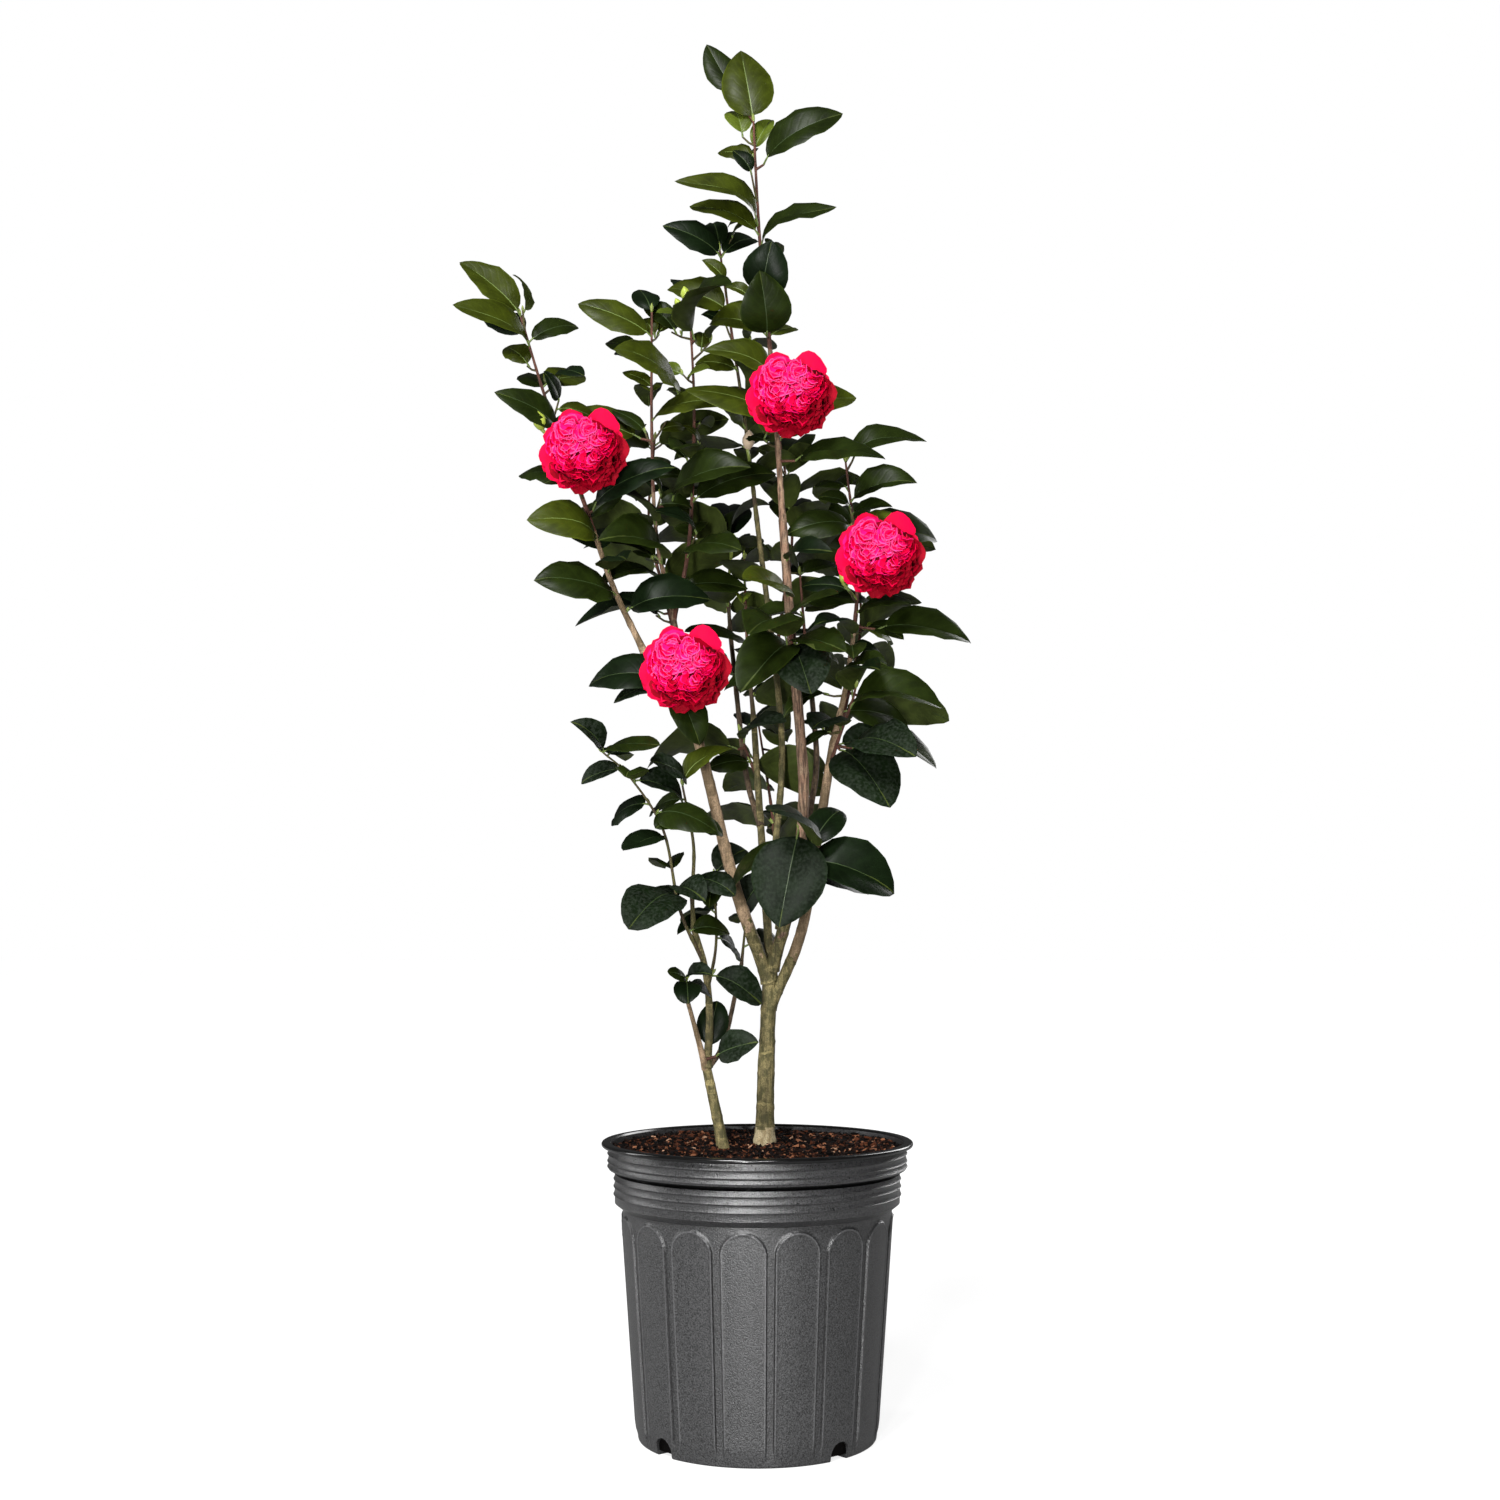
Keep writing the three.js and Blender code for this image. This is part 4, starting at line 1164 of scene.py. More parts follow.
    def grow_reach(self, mass):
        """The outermost leaves, each tried a little nearer the viewer and a little farther off."""
        curve = self.curves[mass.name]
        self.middles[mass.name] = []
        for i, end in enumerate(mass.reach):
            end = Vector(end)
            away = (end - curve.at_height(end.z)).length
            height = end.z - away * math.sin(self.rise_at(end.z))
            foot = curve.at_height(height, curve.bare_share())
            if (end - foot).length > LEAF_MOST:
                near = self.curves[mass.on].at_height(height)
                if (end - near).length < (end - foot).length - LIMB_PULL:
                    foot = near
            for attempt, shift in enumerate(TIP_SHIFTS * REACH_TRIES):
                variety = random.Random(f"{mass.name} {i} {attempt // len(TIP_SHIFTS)}")
                leaf = self.make_leaf(foot, end + Vector((0, shift, 0)), i, variety)
                for name, value in HABITS.get((mass.name, i), {}).items():
                    setattr(leaf, name, Vector(value) if name in ("foot", "tip") else value)
                mesh = self.fits(leaf)
                if mesh:
                    if leaf.foot != foot:
                        self.twigs.append((foot, leaf.foot, mass.size))
                    self.keep(mass, leaf, mesh)
                    break

    def grow_strays(self):
        for index, (name, foot, tip, habit) in enumerate(STRAYS):
            mass = next(mass for mass in MASSES if mass.name == name)
            variety = random.Random(f"stray {index}")
            leaf = self.make_leaf(Vector(foot), Vector(tip), index, variety)
            for key, value in habit.items():
                setattr(leaf, key, value)
            mesh = self.fits(leaf)
            if mesh:
                self.keep(mass, leaf, mesh)

    def grow_spiral(self, mass, index):
        """The leaves that follow the spiral rule up the stem."""
        generator = seeded(SEED + SEED_STEP * index)
        curve = self.curves[mass.name]
        count = TIP_LEAVES + round_half_up(curve.length / LEAF_PITCH) - len(mass.reach)
        for i in range(count):
            part = (i + next(generator)) / count
            foot = curve.at(blend(curve.bare_share(), 1, part))
            heading = i * SPIRAL + next(generator)
            rise = self.rise_at(foot.z) + RISE_SPREAD * (2 * next(generator) - 1)
            size = self.leaf_length * mass.size * (1 + SIZE_SPREAD * (2 * next(generator) - 1))
            twig = TWIG_REACH if i % TWIG_EVERY == 1 and part < TWIG_TOP else 0
            tip = foot + direction(heading, rise) * (size + twig)
            if self.crowded(mass, foot.lerp(tip, LEAF_MIDDLE), LEAF_SPACING):
                continue
            lot = random.Random(f"{mass.name} {i}").random()
            thinned = foot.z > BARE_TOP and (tip.x > BARE_SIDE or lot < BARE_TOP_SHARE)
            if thinned or tip.z > BARE_TIP:
                continue
            for attempt in range(SPIRAL_TRIES):
                variety = random.Random(f"{mass.name} spiral {i} {attempt}")
                leaf = self.make_leaf(foot, tip, i, variety)
                mesh = self.fits(leaf)
                if mesh:
                    self.keep(mass, leaf, mesh)
                    break

    def grow_fine(self, mass, index):
        """Finer twigs off the stem, each with a few smaller leaves, within the same reach."""
        if mass.size < 1:
            return
        variety = random.Random(FINE_SEED + index)
        curve = self.curves[mass.name]
        count = round_half_up(curve.length / FINE_PITCH)
        for i in range(count):
            foot = curve.along(blend(*FINE_SPAN, (i + variety.random()) / count))
            heading = i * SPIRAL + variety.uniform(*FINE_TURNS)
            rise = self.rise_at(foot.z) + variety.uniform(*FINE_RISES)
            end = foot + direction(heading, rise) * variety.uniform(*FINE_LENGTHS)
            grown = [self.grow_fine_leaf(mass, foot, end, heading, (i, j), variety)
                     for j in range(variety.randint(*FINE_LEAVES))]
            if any(grown):
                self.twigs.append((foot, end, mass.size))

    def grow_fine_leaf(self, mass, foot, end, heading, place, variety):
        """One leaf of a finer twig, by the twig's place on the stem and the leaf's on the twig."""
        i, j = place
        turn = heading + (j - 1) * variety.uniform(*FINE_FANS)
        lift = self.rise_at(foot.z) + variety.uniform(*FINE_LIFTS)
        size = variety.uniform(*FINE_LEAF)
        start = foot.lerp(end, 1 - FINE_STEP * j)
        leaf = self.make_leaf(start, start + direction(turn, lift) * size, i + j, variety)
        if leaf.tip.z > YOUNG_FROM and variety.random() < YOUNG_SHARE:
            leaf.tone = YOUNG
        crowded = self.crowded(mass, start.lerp(leaf.tip, LEAF_MIDDLE), FINE_SPACING)
        thinned = start.z > BARE_TOP and leaf.tip.x > BARE_SIDE
        if crowded or thinned or not self.room(mass, leaf):
            return False
        mesh = self.fits(leaf)
        if mesh:
            self.keep(mass, leaf, mesh)
        return bool(mesh)


def round_half_up(value):
    """Rounds as the solids' rule does."""
    return math.floor(value + 0.5)


def direction(turn, rise):
    """The way that points at a turn round the Z axis and a rise above level."""
    out = math.cos(rise)
    return Vector((out * math.cos(turn), out * math.sin(turn), math.sin(rise)))


def stem_radii(mass):
    """A round stem as stout as the three-sided one of the solid."""
    return tuple(ROUND_SHARE * radius for radius in mass.radii)


def taper(radii, flare=0.0, collar=0.0):
    """A rule for a limb's radius at a share of its length and at a run from its foot."""
    def radius_at(part, run):
        swell = flare * math.exp(-run / FLARE_REACH)
        swell += collar * radii[0] * math.exp(-run / COLLAR_REACH)
        return blend(radii[0], radii[1], part) + swell
    return radius_at


SHRUBS = {}


def the_shrub(context):
    """The plant's growth, worked out once."""
    leaf_length = round(context.scene.camellia_leaf.leaf_length / MM, 3)
    if leaf_length not in SHRUBS:
        SHRUBS[leaf_length] = Shrub(leaf_length)
    return SHRUBS[leaf_length]


# Pot

def body_radius(height):
    return blend(FOOT_RADIUS, BODY_TOP_RADIUS, height / BODY_TOP)


def wall_radius(height):
    """The outside of the pot without its panels."""
    if height <= BODY_TOP:
        return body_radius(height)
    knots = ((BODY_TOP, BODY_TOP_RADIUS), (LOWER_BAND_FOOT, LOWER_BAND_RADIUS),
             (LOWER_BAND_TOP, LOWER_BAND_RADIUS), (UNDERCUT_FOOT, UNDERCUT_RADIUS),
             (UNDERCUT_TOP, UNDERCUT_RADIUS), (UPPER_BAND_FOOT, UPPER_BAND_RADIUS),
             (LIP_FOOT, UPPER_BAND_RADIUS))
    radius = np.interp(height, *zip(*knots))
    below, above = RIB_SLOPES
    for rib in RIB_HEIGHTS:
        gap = abs(height - rib) / RIB_HALF
        if gap < 1:
            radius += RIB_RISE * (1 - gap) ** (below if height < rib else above)
    return float(radius)


def pot_outline():
    """The wall of the pot, up the outside, over the rolled lip and down the inside."""
    points = [(radius, 0.0) for radius in (0.0, *UNDERSIDE_RINGS, FOOT_RADIUS - FOOT_ROUND)]
    for i in range(1, 5):
        turn = math.radians(i * ARC_DEGREES)
        points.append((FOOT_RADIUS - FOOT_ROUND * (1 - math.sin(turn)),
                       FOOT_ROUND * (1 - math.cos(turn))))
    heights = [*np.arange(ROW_STEP, ARCH_ROWS_FROM, ROW_STEP),
               *np.arange(ARCH_ROWS_FROM, BODY_TOP, ARCH_ROW_STEP)]
    heights += [BODY_TOP, LOWER_BAND_FOOT, LOWER_BAND_TOP, UNDERCUT_FOOT, UNDERCUT_TOP,
                UPPER_BAND_FOOT]
    for rib in RIB_HEIGHTS:
        heights += [rib + RIB_HALF * step for step in RIB_ROWS]
    points += [(wall_radius(height), float(height)) for height in sorted(heights)]
    roll = (POT_HEIGHT - LIP_FOOT) / 2
    centre = LIP_RADIUS - roll
    points.append((UPPER_BAND_RADIUS, LIP_FOOT - LIP_NECK))
    for i in range(9):
        turn = math.radians(-90 + i * ARC_DEGREES)
        points.append((centre + roll * math.cos(turn), LIP_FOOT + roll * (1 + math.sin(turn))))
    inner = UPPER_BAND_RADIUS - WALL
    lower_inner = LOWER_BAND_RADIUS - WALL
    points += [(inner + LIP_BEVEL, POT_HEIGHT - LIP_SOFTNESS), (inner, POT_HEIGHT - LIP_DEPTH),
               (inner, INNER_ROW), (inner, UPPER_BAND_FOOT), (lower_inner, LOWER_BAND_TOP),
               (lower_inner, LOWER_BAND_FOOT), (BODY_TOP_RADIUS - WALL, BODY_TOP),
               (body_radius(BODY_ROW) - WALL, BODY_ROW), (body_radius(FLOOR) - WALL, FLOOR),
               (FLOOR_RING, FLOOR), (0.0, FLOOR)]
    return points


def spun(name, points, columns):
    """Spins an outline of (radius, height) points in millimetres into a closed round piece."""
    mesh = bpy.data.meshes.new(name)
    corners = [(radius * MM, 0, height * MM) for radius, height in points]
    mesh.from_pydata(corners, [(i, i + 1) for i in range(len(corners) - 1)], [])
    piece = bpy.data.objects.new(name, mesh)
    bpy.context.collection.objects.link(piece)
    choose(piece)
    bpy.ops.object.mode_set(mode="EDIT")
    bpy.ops.mesh.select_all(action="SELECT")
    bpy.ops.mesh.spin(steps=columns, angle=FULL_TURN, center=(0, 0, 0), axis=(0, 0, 1))
    bpy.ops.mesh.select_all(action="SELECT")
    bpy.ops.mesh.remove_doubles(threshold=0.00002)
    bpy.ops.mesh.normals_make_consistent(inside=False)
    bpy.ops.object.mode_set(mode="OBJECT")
    return piece


def panel_offset(turn):
    """The turn from the middle of the nearest panel."""
    return (turn + PANEL_PITCH / 2) % PANEL_PITCH - PANEL_PITCH / 2


def panel_rise(turn, height):
    """How far a point on the body stands proud, from its turn from the front and its height."""
    half_angle = PANEL_ANGLE / 2
    sideways = abs(panel_offset(turn - PANEL_TURN)) * body_radius(height)
    top_half = body_radius(PANEL_TOP) * half_angle
    spring = PANEL_TOP - top_half
    if height <= spring:
        inside = body_radius(height) * half_angle - sideways
    else:
        inside = top_half - math.hypot(sideways, height - spring)
    foot = smooth_step((height - PANEL_FOOT + PANEL_FADE / 2) / PANEL_FADE)
    hollow = PANEL_FLATTEN * smooth_step(inside / PANEL_BEAD)
    return (PANEL_RISE - hollow) * smooth_step(inside / PANEL_EDGE + 0.5) * foot


def paint_shade_on_lip_and_undercut(piece):
    """Gives the rolled lip and the undercut below the upper band the near-black plastic: painted shade
    on the lip, a painted shadow line in the undercut.
    """
    for face in piece.data.polygons:
        radius = math.hypot(face.center.x, face.center.y) / MM
        height = face.center.z / MM
        on_lip = height > LIP_FOOT - 0.4 and radius > UPPER_BAND_RADIUS - WALL - 0.5
        in_undercut = UNDERCUT_FOOT - 0.5 < height < UPPER_BAND_FOOT
        if on_lip or (in_undercut and radius > UNDERCUT_RADIUS - 1):
            # The near-black finish: painted shade on the lip, a painted shadow line under the upper
            # band.
            face.material_index = 1


def gather_columns(piece):
    """Turns the columns of the mesh closer together along the panels' edges."""
    edge = PANEL_ANGLE / 2
    half = PANEL_PITCH / 2
    places = [part * half for part in EDGE_COLUMNS]
    turns = (0, edge - EDGE_BAND, edge + EDGE_BAND, half)
    for corner in piece.data.vertices:
        radius = math.hypot(corner.co.x, corner.co.y)
        turn = math.atan2(corner.co.x, -corner.co.y) - PANEL_TURN
        offset = panel_offset(turn)
        moved = math.copysign(float(np.interp(abs(offset), places, turns)), offset)
        turn += moved - offset + PANEL_TURN
        corner.co.x, corner.co.y = radius * math.sin(turn), -radius * math.cos(turn)


def emboss_panels(piece):
    """Raises the panels on the outside of the body."""
    for corner in piece.data.vertices:
        spot = corner.co / MM
        radius = math.hypot(spot.x, spot.y)
        on_body = FOOT_ROUND < spot.z < BODY_TOP and radius > body_radius(spot.z) - WALL / 2
        if on_body:
            rise = panel_rise(math.atan2(spot.x, -spot.y), spot.z)
            scale = (radius + rise) / radius
            corner.co = (corner.co.x * scale, corner.co.y * scale, corner.co.z)


def cut_drains(piece):
    """Cuts the arched drain notches through the foot of the wall."""
    half = DRAIN_WIDTH / 2 * MM
    arch = DRAIN_HEIGHT * MM - half
    for i in range(DRAIN_COUNT):
        turn = DRAIN_TURN + FULL_TURN * i / DRAIN_COUNT
        bpy.ops.object.select_all(action="DESELECT")
        place = Vector((math.sin(turn), -math.cos(turn), 0)) * FOOT_RADIUS * MM
        bpy.ops.mesh.primitive_cylinder_add(
            vertices=DRAIN_SIDES, radius=half, depth=DRAIN_DEPTH * MM,
            location=(place.x, place.y, arch), rotation=(math.pi / 2, 0, turn))
        cutter = bpy.context.object
        cutter.data.materials.append(piece.data.materials[0])
        bpy.ops.object.transform_apply(location=True, rotation=True, scale=True)
        for corner in cutter.data.vertices:
            if corner.co.z < arch - TOLERANCE:
                corner.co.z -= DRAIN_DROP * MM
        choose(piece)
        modifier = piece.modifiers.new("drain", "BOOLEAN")
        modifier.operation = "DIFFERENCE"
        modifier.solver = "MANIFOLD"
        modifier.object = cutter
        bpy.ops.object.modifier_apply(modifier=modifier.name)
        bpy.data.objects.remove(cutter)


class CAMELLIA_OT_pot(bpy.types.Operator):
    """Build the ribbed nursery pot"""

    bl_idname = "camellia.pot"
    bl_label = "Nursery Pot"

    def execute(self, context):
        settings = context.scene.camellia_pot
        piece = spun("nursery_pot", pot_outline(), PANEL_COUNT * COLUMNS_PER_PANEL)
        piece.data.materials.append(plastic_finish("pot_plastic", settings.plastic, settings))
        piece.data.materials.append(lip_shade_finish("lip_plastic", settings.edge))
        paint_shade_on_lip_and_undercut(piece)
        gather_columns(piece)
        emboss_panels(piece)
        cut_drains(piece)
        choose(piece)
        bpy.ops.object.shade_smooth_by_angle(angle=math.radians(40))
        hand_over(piece, "pot", "pot")
        return {"FINISHED"}


# Potting bark

CHIP_TONES = (
    ("humus", (0.0014, 0.0006, 0.0004), 0.47),
    ("dark_chip", (0.008, 0.003, 0.0017), 0.30),
    ("red_chip", (0.070, 0.021, 0.009), 0.16),
    ("tan_chip", (0.22, 0.090, 0.045), 0.06),
    ("pale_chip", (0.42, 0.24, 0.15), 0.010),
)


def ground_height(x, y, unevenness):
    """The top of the bark at a place in millimetres."""
    rough = noise.noise(Vector((x / HEAP_WIDE, y / HEAP_WIDE, 3)))
    rough += HEAP_FINE_SHARE * noise.noise(Vector((x / HEAP_FINE, y / HEAP_FINE, 9)))
    edge = smooth_step((math.hypot(x, y) - HEAP_EDGE) / HEAP_EDGE_SPAN)
    return SOIL_HEIGHT + SOIL_HEAP + unevenness * rough * (1 - HEAP_FLATTEN * edge)


def soil_outline():
    """The bark inside the wall, from the middle of its underside to the middle of its top."""
    room = WALL + SOIL_GAP
    foot = FLOOR + SOIL_GAP
    points = [(0.0, foot), (body_radius(FLOOR) - room - SOIL_GAP, foot),
              (BODY_TOP_RADIUS - room, BODY_TOP), (LOWER_BAND_RADIUS - room, LOWER_BAND_FOOT + 0.8),
              (LOWER_BAND_RADIUS - room, LOWER_BAND_TOP),
              (UPPER_BAND_RADIUS - room, UPPER_BAND_FOOT + 1), (UPPER_BAND_RADIUS - room, SOIL_RIM)]
    return points + [(radius, SOIL_HEIGHT) for radius in np.linspace(SOIL_REACH, 0, SOIL_ROWS)]


def chip_corners(variety, place, size):
    """A shard of bark: a box with knocked corners, lying nearly flat."""
    wide = size * variety.uniform(*CHIP_WIDTHS)
    thick = size * variety.uniform(*CHIP_THICKNESSES)
    turn = Matrix.Rotation(variety.uniform(0, FULL_TURN), 3, "Z")
    turn = turn @ Matrix.Rotation(variety.gauss(0, CHIP_ROLL), 3, "X")
    turn = turn @ Matrix.Rotation(variety.gauss(0, CHIP_PITCH), 3, "Y")
    corners = []
    for z in (-1, 1):
        for x, y in ((-1, -1), (1, -1), (1, 1), (-1, 1)):
            knock = [variety.uniform(*CHIP_KNOCKS) for _ in range(3)]
            corner = Vector((x * size * knock[0], y * wide * knock[1], z * thick * knock[2])) / 2
            corners.append(place + turn @ corner)
    return corners


BOX_FACES = ((3, 2, 1, 0), (4, 5, 6, 7), (0, 1, 5, 4), (1, 2, 6, 5), (2, 3, 7, 6), (3, 0, 4, 7))


def strew_chips(settings):
    """Loose chips all over the bark, but for the room round the stems."""
    chips = Patchwork()
    variety = random.Random(CHIP_SEED)
    weights = [weight for _, _, weight in CHIP_TONES]
    stems = [limb.way[0] for limb in LIMBS if limb.way[0][2] == SOIL_HEIGHT]
    for _ in range(settings.chips):
        radius = CHIP_REACH * math.sqrt(variety.random())
        turn = variety.uniform(0, FULL_TURN)
        x, y = radius * math.cos(turn), radius * math.sin(turn)
        largeness = variety.random() ** CHIP_SMALLNESS
        if any(math.hypot(x - stem[0], y - stem[1]) < STEM_ROOM for stem in stems):
            continue
        size = blend(settings.chip_least, settings.chip_most, largeness) / MM
        lift = variety.uniform(*CHIP_LIFTS)
        place = Vector((x, y, ground_height(x, y, settings.unevenness / MM) + lift))
        tone = variety.choices(range(len(CHIP_TONES)), weights)[0]
        chips.add(chip_corners(variety, place, size), BOX_FACES, tone)
    return chips


class CAMELLIA_OT_potting_bark(bpy.types.Operator):
    """Fill the pot with bark and strew loose chips on it"""

    bl_idname = "camellia.potting_bark"
    bl_label = "Potting Bark"

    def execute(self, context):
        settings = context.scene.camellia_bark_fill
        unevenness = settings.unevenness / MM
        body = spun("potting_bark", soil_outline(), SOIL_COLUMNS)
        for corner in body.data.vertices:
            if corner.co.z > (SOIL_HEIGHT - 1) * MM:
                corner.co.z = ground_height(corner.co.x / MM, corner.co.y / MM, unevenness) * MM
        choose(body)
        bpy.ops.object.shade_smooth()
        finishes = [chip_finish(name, tone) for name, tone, _ in CHIP_TONES]
        for finish in finishes:
            body.data.materials.append(finish)
        loose = strew_chips(settings).piece("bark_chips", finishes)
        hand_over(loose, "potting_bark", "soil")
        hand_over(body, "potting_bark", "soil")
        return {"FINISHED"}


# Trunk, stems and boughs

BARKS = ("khaki", "tan", "brown", "dark", "worn")
WOOD_SMOOTHING = math.radians(60)

# The bark's relief: the size of its lumps, furrows and old leaf scars in millimetres, and how far
# each stands out as a share of the limb's radius.
LUMP_SIZE = 9
LUMP_RELIEF = 0.055
FURROW_LENGTH = 30
FURROW_COUNT = 2.2
FURROW_RELIEF = 1.6
SCAR_PITCH = 27.0
SCAR_SHIFT = 5
SCAR_HALF = 1.6
SCAR_RELIEF = 0.07

# The worn bark at the trunk's foot and the olive bark on the boughs that leave it: how far each
# reaches and how ragged its edge is.
RAGGED_SIZE = 6
WORN_REACH = 22.0
WORN_RAGGED = 12.0
OLIVE_REACH = 42.0
OLIVE_RAGGED = 34.0
OLIVE_BELOW = 400
OLIVE_RADIUS = 4

# How many sides a limb's mesh has, and from what radius it has more.
STOUT_RADIUS = 4.5
STOUT_SIDES = 28
SLIM_SIDES = 20
FEWEST_RINGS = 8


def bark_relief(limb, seed):
    """The bark's relief as a share of the radius: lumps, lengthwise furrows and old leaf scars."""
    def relief(point, out, turn, run):
        lump = noise.noise((point + out * 4) / LUMP_SIZE + Vector((seed, 0, 0)))
        furrow = noise.noise(Vector((math.cos(turn) * FURROW_COUNT, math.sin(turn) * FURROW_COUNT,
                                     run / FURROW_LENGTH + seed)))
        from_scar = (run + seed * SCAR_SHIFT) % SCAR_PITCH - SCAR_PITCH / 2
        scar = math.exp(-(from_scar / SCAR_HALF) ** 2)
        return LUMP_RELIEF * lump + limb.rough * furrow * FURROW_RELIEF + SCAR_RELIEF * scar
    return relief


def ragged(point, run, reach, spread):
    """Whether a place lies within a run from the foot that ends in a ragged edge."""
    return run < reach + spread * noise.noise(Vector(point) / RAGGED_SIZE)


def bark_rule(limb):
    """The trunk's olive bark runs on into the boughs that leave it, and its foot is worn pale."""
    bark, olive, worn = (BARKS.index(name) for name in (limb.bark, "khaki", "worn"))
    low = limb.way[0][2] < OLIVE_BELOW and limb.radii[0] > OLIVE_RADIUS
    leaves_trunk = low and limb.bark in ("tan", "brown")
    trunk = limb.name == "main_stem"

    def finish_at(point, run):
        if trunk and ragged(point, run, WORN_REACH, WORN_RAGGED):
            return worn
        return olive if leaves_trunk and ragged(point, run, OLIVE_REACH, OLIVE_RAGGED) else bark
    return finish_at


def bark_finishes(settings):
    """The barks in the order of BARKS."""
    return [
        bark_finish("trunk_bark", settings.khaki, KHAKI_BLOTCH, 0.005, furrow=0.45, ring=0.8, pale=1.9),
        bark_finish("smooth_bark", settings.tan, TAN_BLOTCH, 0.012, furrow=0.3, ring=0.3, pale=1.4),
        bark_finish("furrowed_bark", settings.brown, BROWN_BLOTCH, 0.007, furrow=0.85),
        bark_finish("shaded_bark", settings.dark, dim(settings.dark, 1.8), 0.010, furrow=0.5),
        bark_finish("worn_bark", WORN_BARK, WORN_BLOTCH, 0.006, furrow=0.2),
    ]


class CAMELLIA_OT_wood(bpy.types.Operator):
    """Build the trunk, the second stem and the boughs with their bark"""

    bl_idname = "camellia.wood"
    bl_label = "Trunk and Boughs"

    def execute(self, context):
        settings = context.scene.camellia_wood
        shrub = the_shrub(context)
        wood = Patchwork()
        for seed, limb in enumerate(LIMBS):
            curve = shrub.curves[limb.name]
            rings = max(FEWEST_RINGS, round(curve.length * MM / settings.ring_step))
            collar = 0.0 if limb.flare else settings.collar
            sides = STOUT_SIDES if limb.radii[0] > STOUT_RADIUS else SLIM_SIDES
            sweep(wood, curve.path(rings), taper(limb.radii, limb.flare, collar), sides,
                  bark_rule(limb), bark_relief(limb, seed))
        piece = wood.piece("trunk_and_boughs", bark_finishes(settings), WOOD_SMOOTHING)
        hand_over(piece, "bark", *[limb.name for limb in LIMBS])
        return {"FINISHED"}


# Twigs

SHOOT, GREEN_SHOOT, PETIOLE, OLD_TAN, OLD_BROWN = range(5)
OLD_WOOD = {"tan": OLD_TAN, "brown": OLD_BROWN, "khaki": GREEN_SHOOT, "dark": GREEN_SHOOT}
OLD_SHARE = 0.38
OLD_RAGGED = 40.0
YOUNG_ABOVE = 560

# The leafy stems, the side twigs, the stalks of far leaves and the petioles: rings, sides, radii.
STEM_RING_STEP = 5
STEM_COLLAR = 0.3
LEAFY_SIDES = 9
TWIG_SIDES = 6
SIDE_TWIG_RADII = (1.15, 0.8)
SIDE_TWIG_SAG = 1.2
STALK_RADII = (1.3, 1.0)
PETIOLE_RADII = (0.95, 0.7)
PETIOLE_RINGS = 4
PETIOLE_OVERLAP = 1.4
LEAF_SCAR_PITCH = 17
LEAF_SCAR_HALF = 1.3
LEAF_SCAR_RELIEF = 0.16


def shoot_rule(mass, curve):
    """A stem that goes on from a limb's tip keeps that limb's bark for its lower part."""
    young = SHOOT if curve.samples[-1].z > YOUNG_ABOVE else GREEN_SHOOT
    limb = next(limb for limb in LIMBS if limb.name == mass.on)
    old = OLD_WOOD[limb.bark]
    reach = 0 if mass.at else OLD_SHARE * curve.length

    def finish_at(point, run):
        return old if reach and ragged(point, run, reach, OLD_RAGGED) else young
    return finish_at


def twig_relief(point, out, _, run):
    """The scars that fallen leaves left, and fine lumps, as a share of the radius."""
    scar = math.exp(-((run % LEAF_SCAR_PITCH - LEAF_SCAR_PITCH // 2) / LEAF_SCAR_HALF) ** 2)
    return LEAF_SCAR_RELIEF * scar + 0.05 * noise.noise((point + out * 2) / 5)


def add_stems(twigs, shrub):
    for mass in MASSES:
        curve = shrub.curves[mass.name]
        path = curve.path(max(4, round(curve.length / STEM_RING_STEP)))
        radius_at = taper(stem_radii(mass), collar=STEM_COLLAR)
        sweep(twigs, path, radius_at, LEAFY_SIDES, shoot_rule(mass, curve), twig_relief)


def add_side_twigs(twigs, shrub):
    for foot, end, size in shrub.twigs:
        middle = foot.lerp(end, 0.5) - Vector((0, 0, SIDE_TWIG_SAG))
        path = [foot, foot.lerp(middle, 0.5), middle, end]
        radii = [size * radius for radius in SIDE_TWIG_RADII]
        sweep(twigs, path, taper(radii), TWIG_SIDES, GREEN_SHOOT)


def add_petioles(twigs, shrub):
    """The petiole of each leaf, and the stalk that carries a far one."""
    for leaf, _ in shrub.leaves:
        chord = (leaf.tip - leaf.foot).normalized()
        if leaf.stalk:
            path = [leaf.foot, leaf.foot + chord * leaf.stalk * 0.5, leaf.foot + chord * leaf.stalk]
            sweep(twigs, path, taper(STALK_RADII), TWIG_SIDES, SHOOT)
        reach = PETIOLE_SHARE * PETIOLE_OVERLAP
        path = [leaf_spine(leaf, reach * i / PETIOLE_RINGS) for i in range(PETIOLE_RINGS + 1)]
        sweep(twigs, path, taper(PETIOLE_RADII), TWIG_SIDES, PETIOLE)


def twig_finishes(wood, leaf):
    """The finishes of SHOOT, GREEN_SHOOT, PETIOLE, OLD_TAN and OLD_BROWN."""
    return [
        bark_finish("shoot_bark", wood.shoot, dim(wood.shoot, 1.7), 0.009, furrow=0.4),
        bark_finish("green_shoot_bark", wood.dark, GREEN_SHOOT_BLOTCH, 0.009, furrow=0.3),
        plain_growth_finish("petiole", leaf.rib),
        bark_finish("old_tan_bark", wood.tan, OLD_TAN_BLOTCH, 0.012, furrow=0.5, ring=0.3, pale=1.5),
        bark_finish("old_brown_bark", wood.brown, OLD_BROWN_BLOTCH, 0.006, furrow=0.8),
    ]


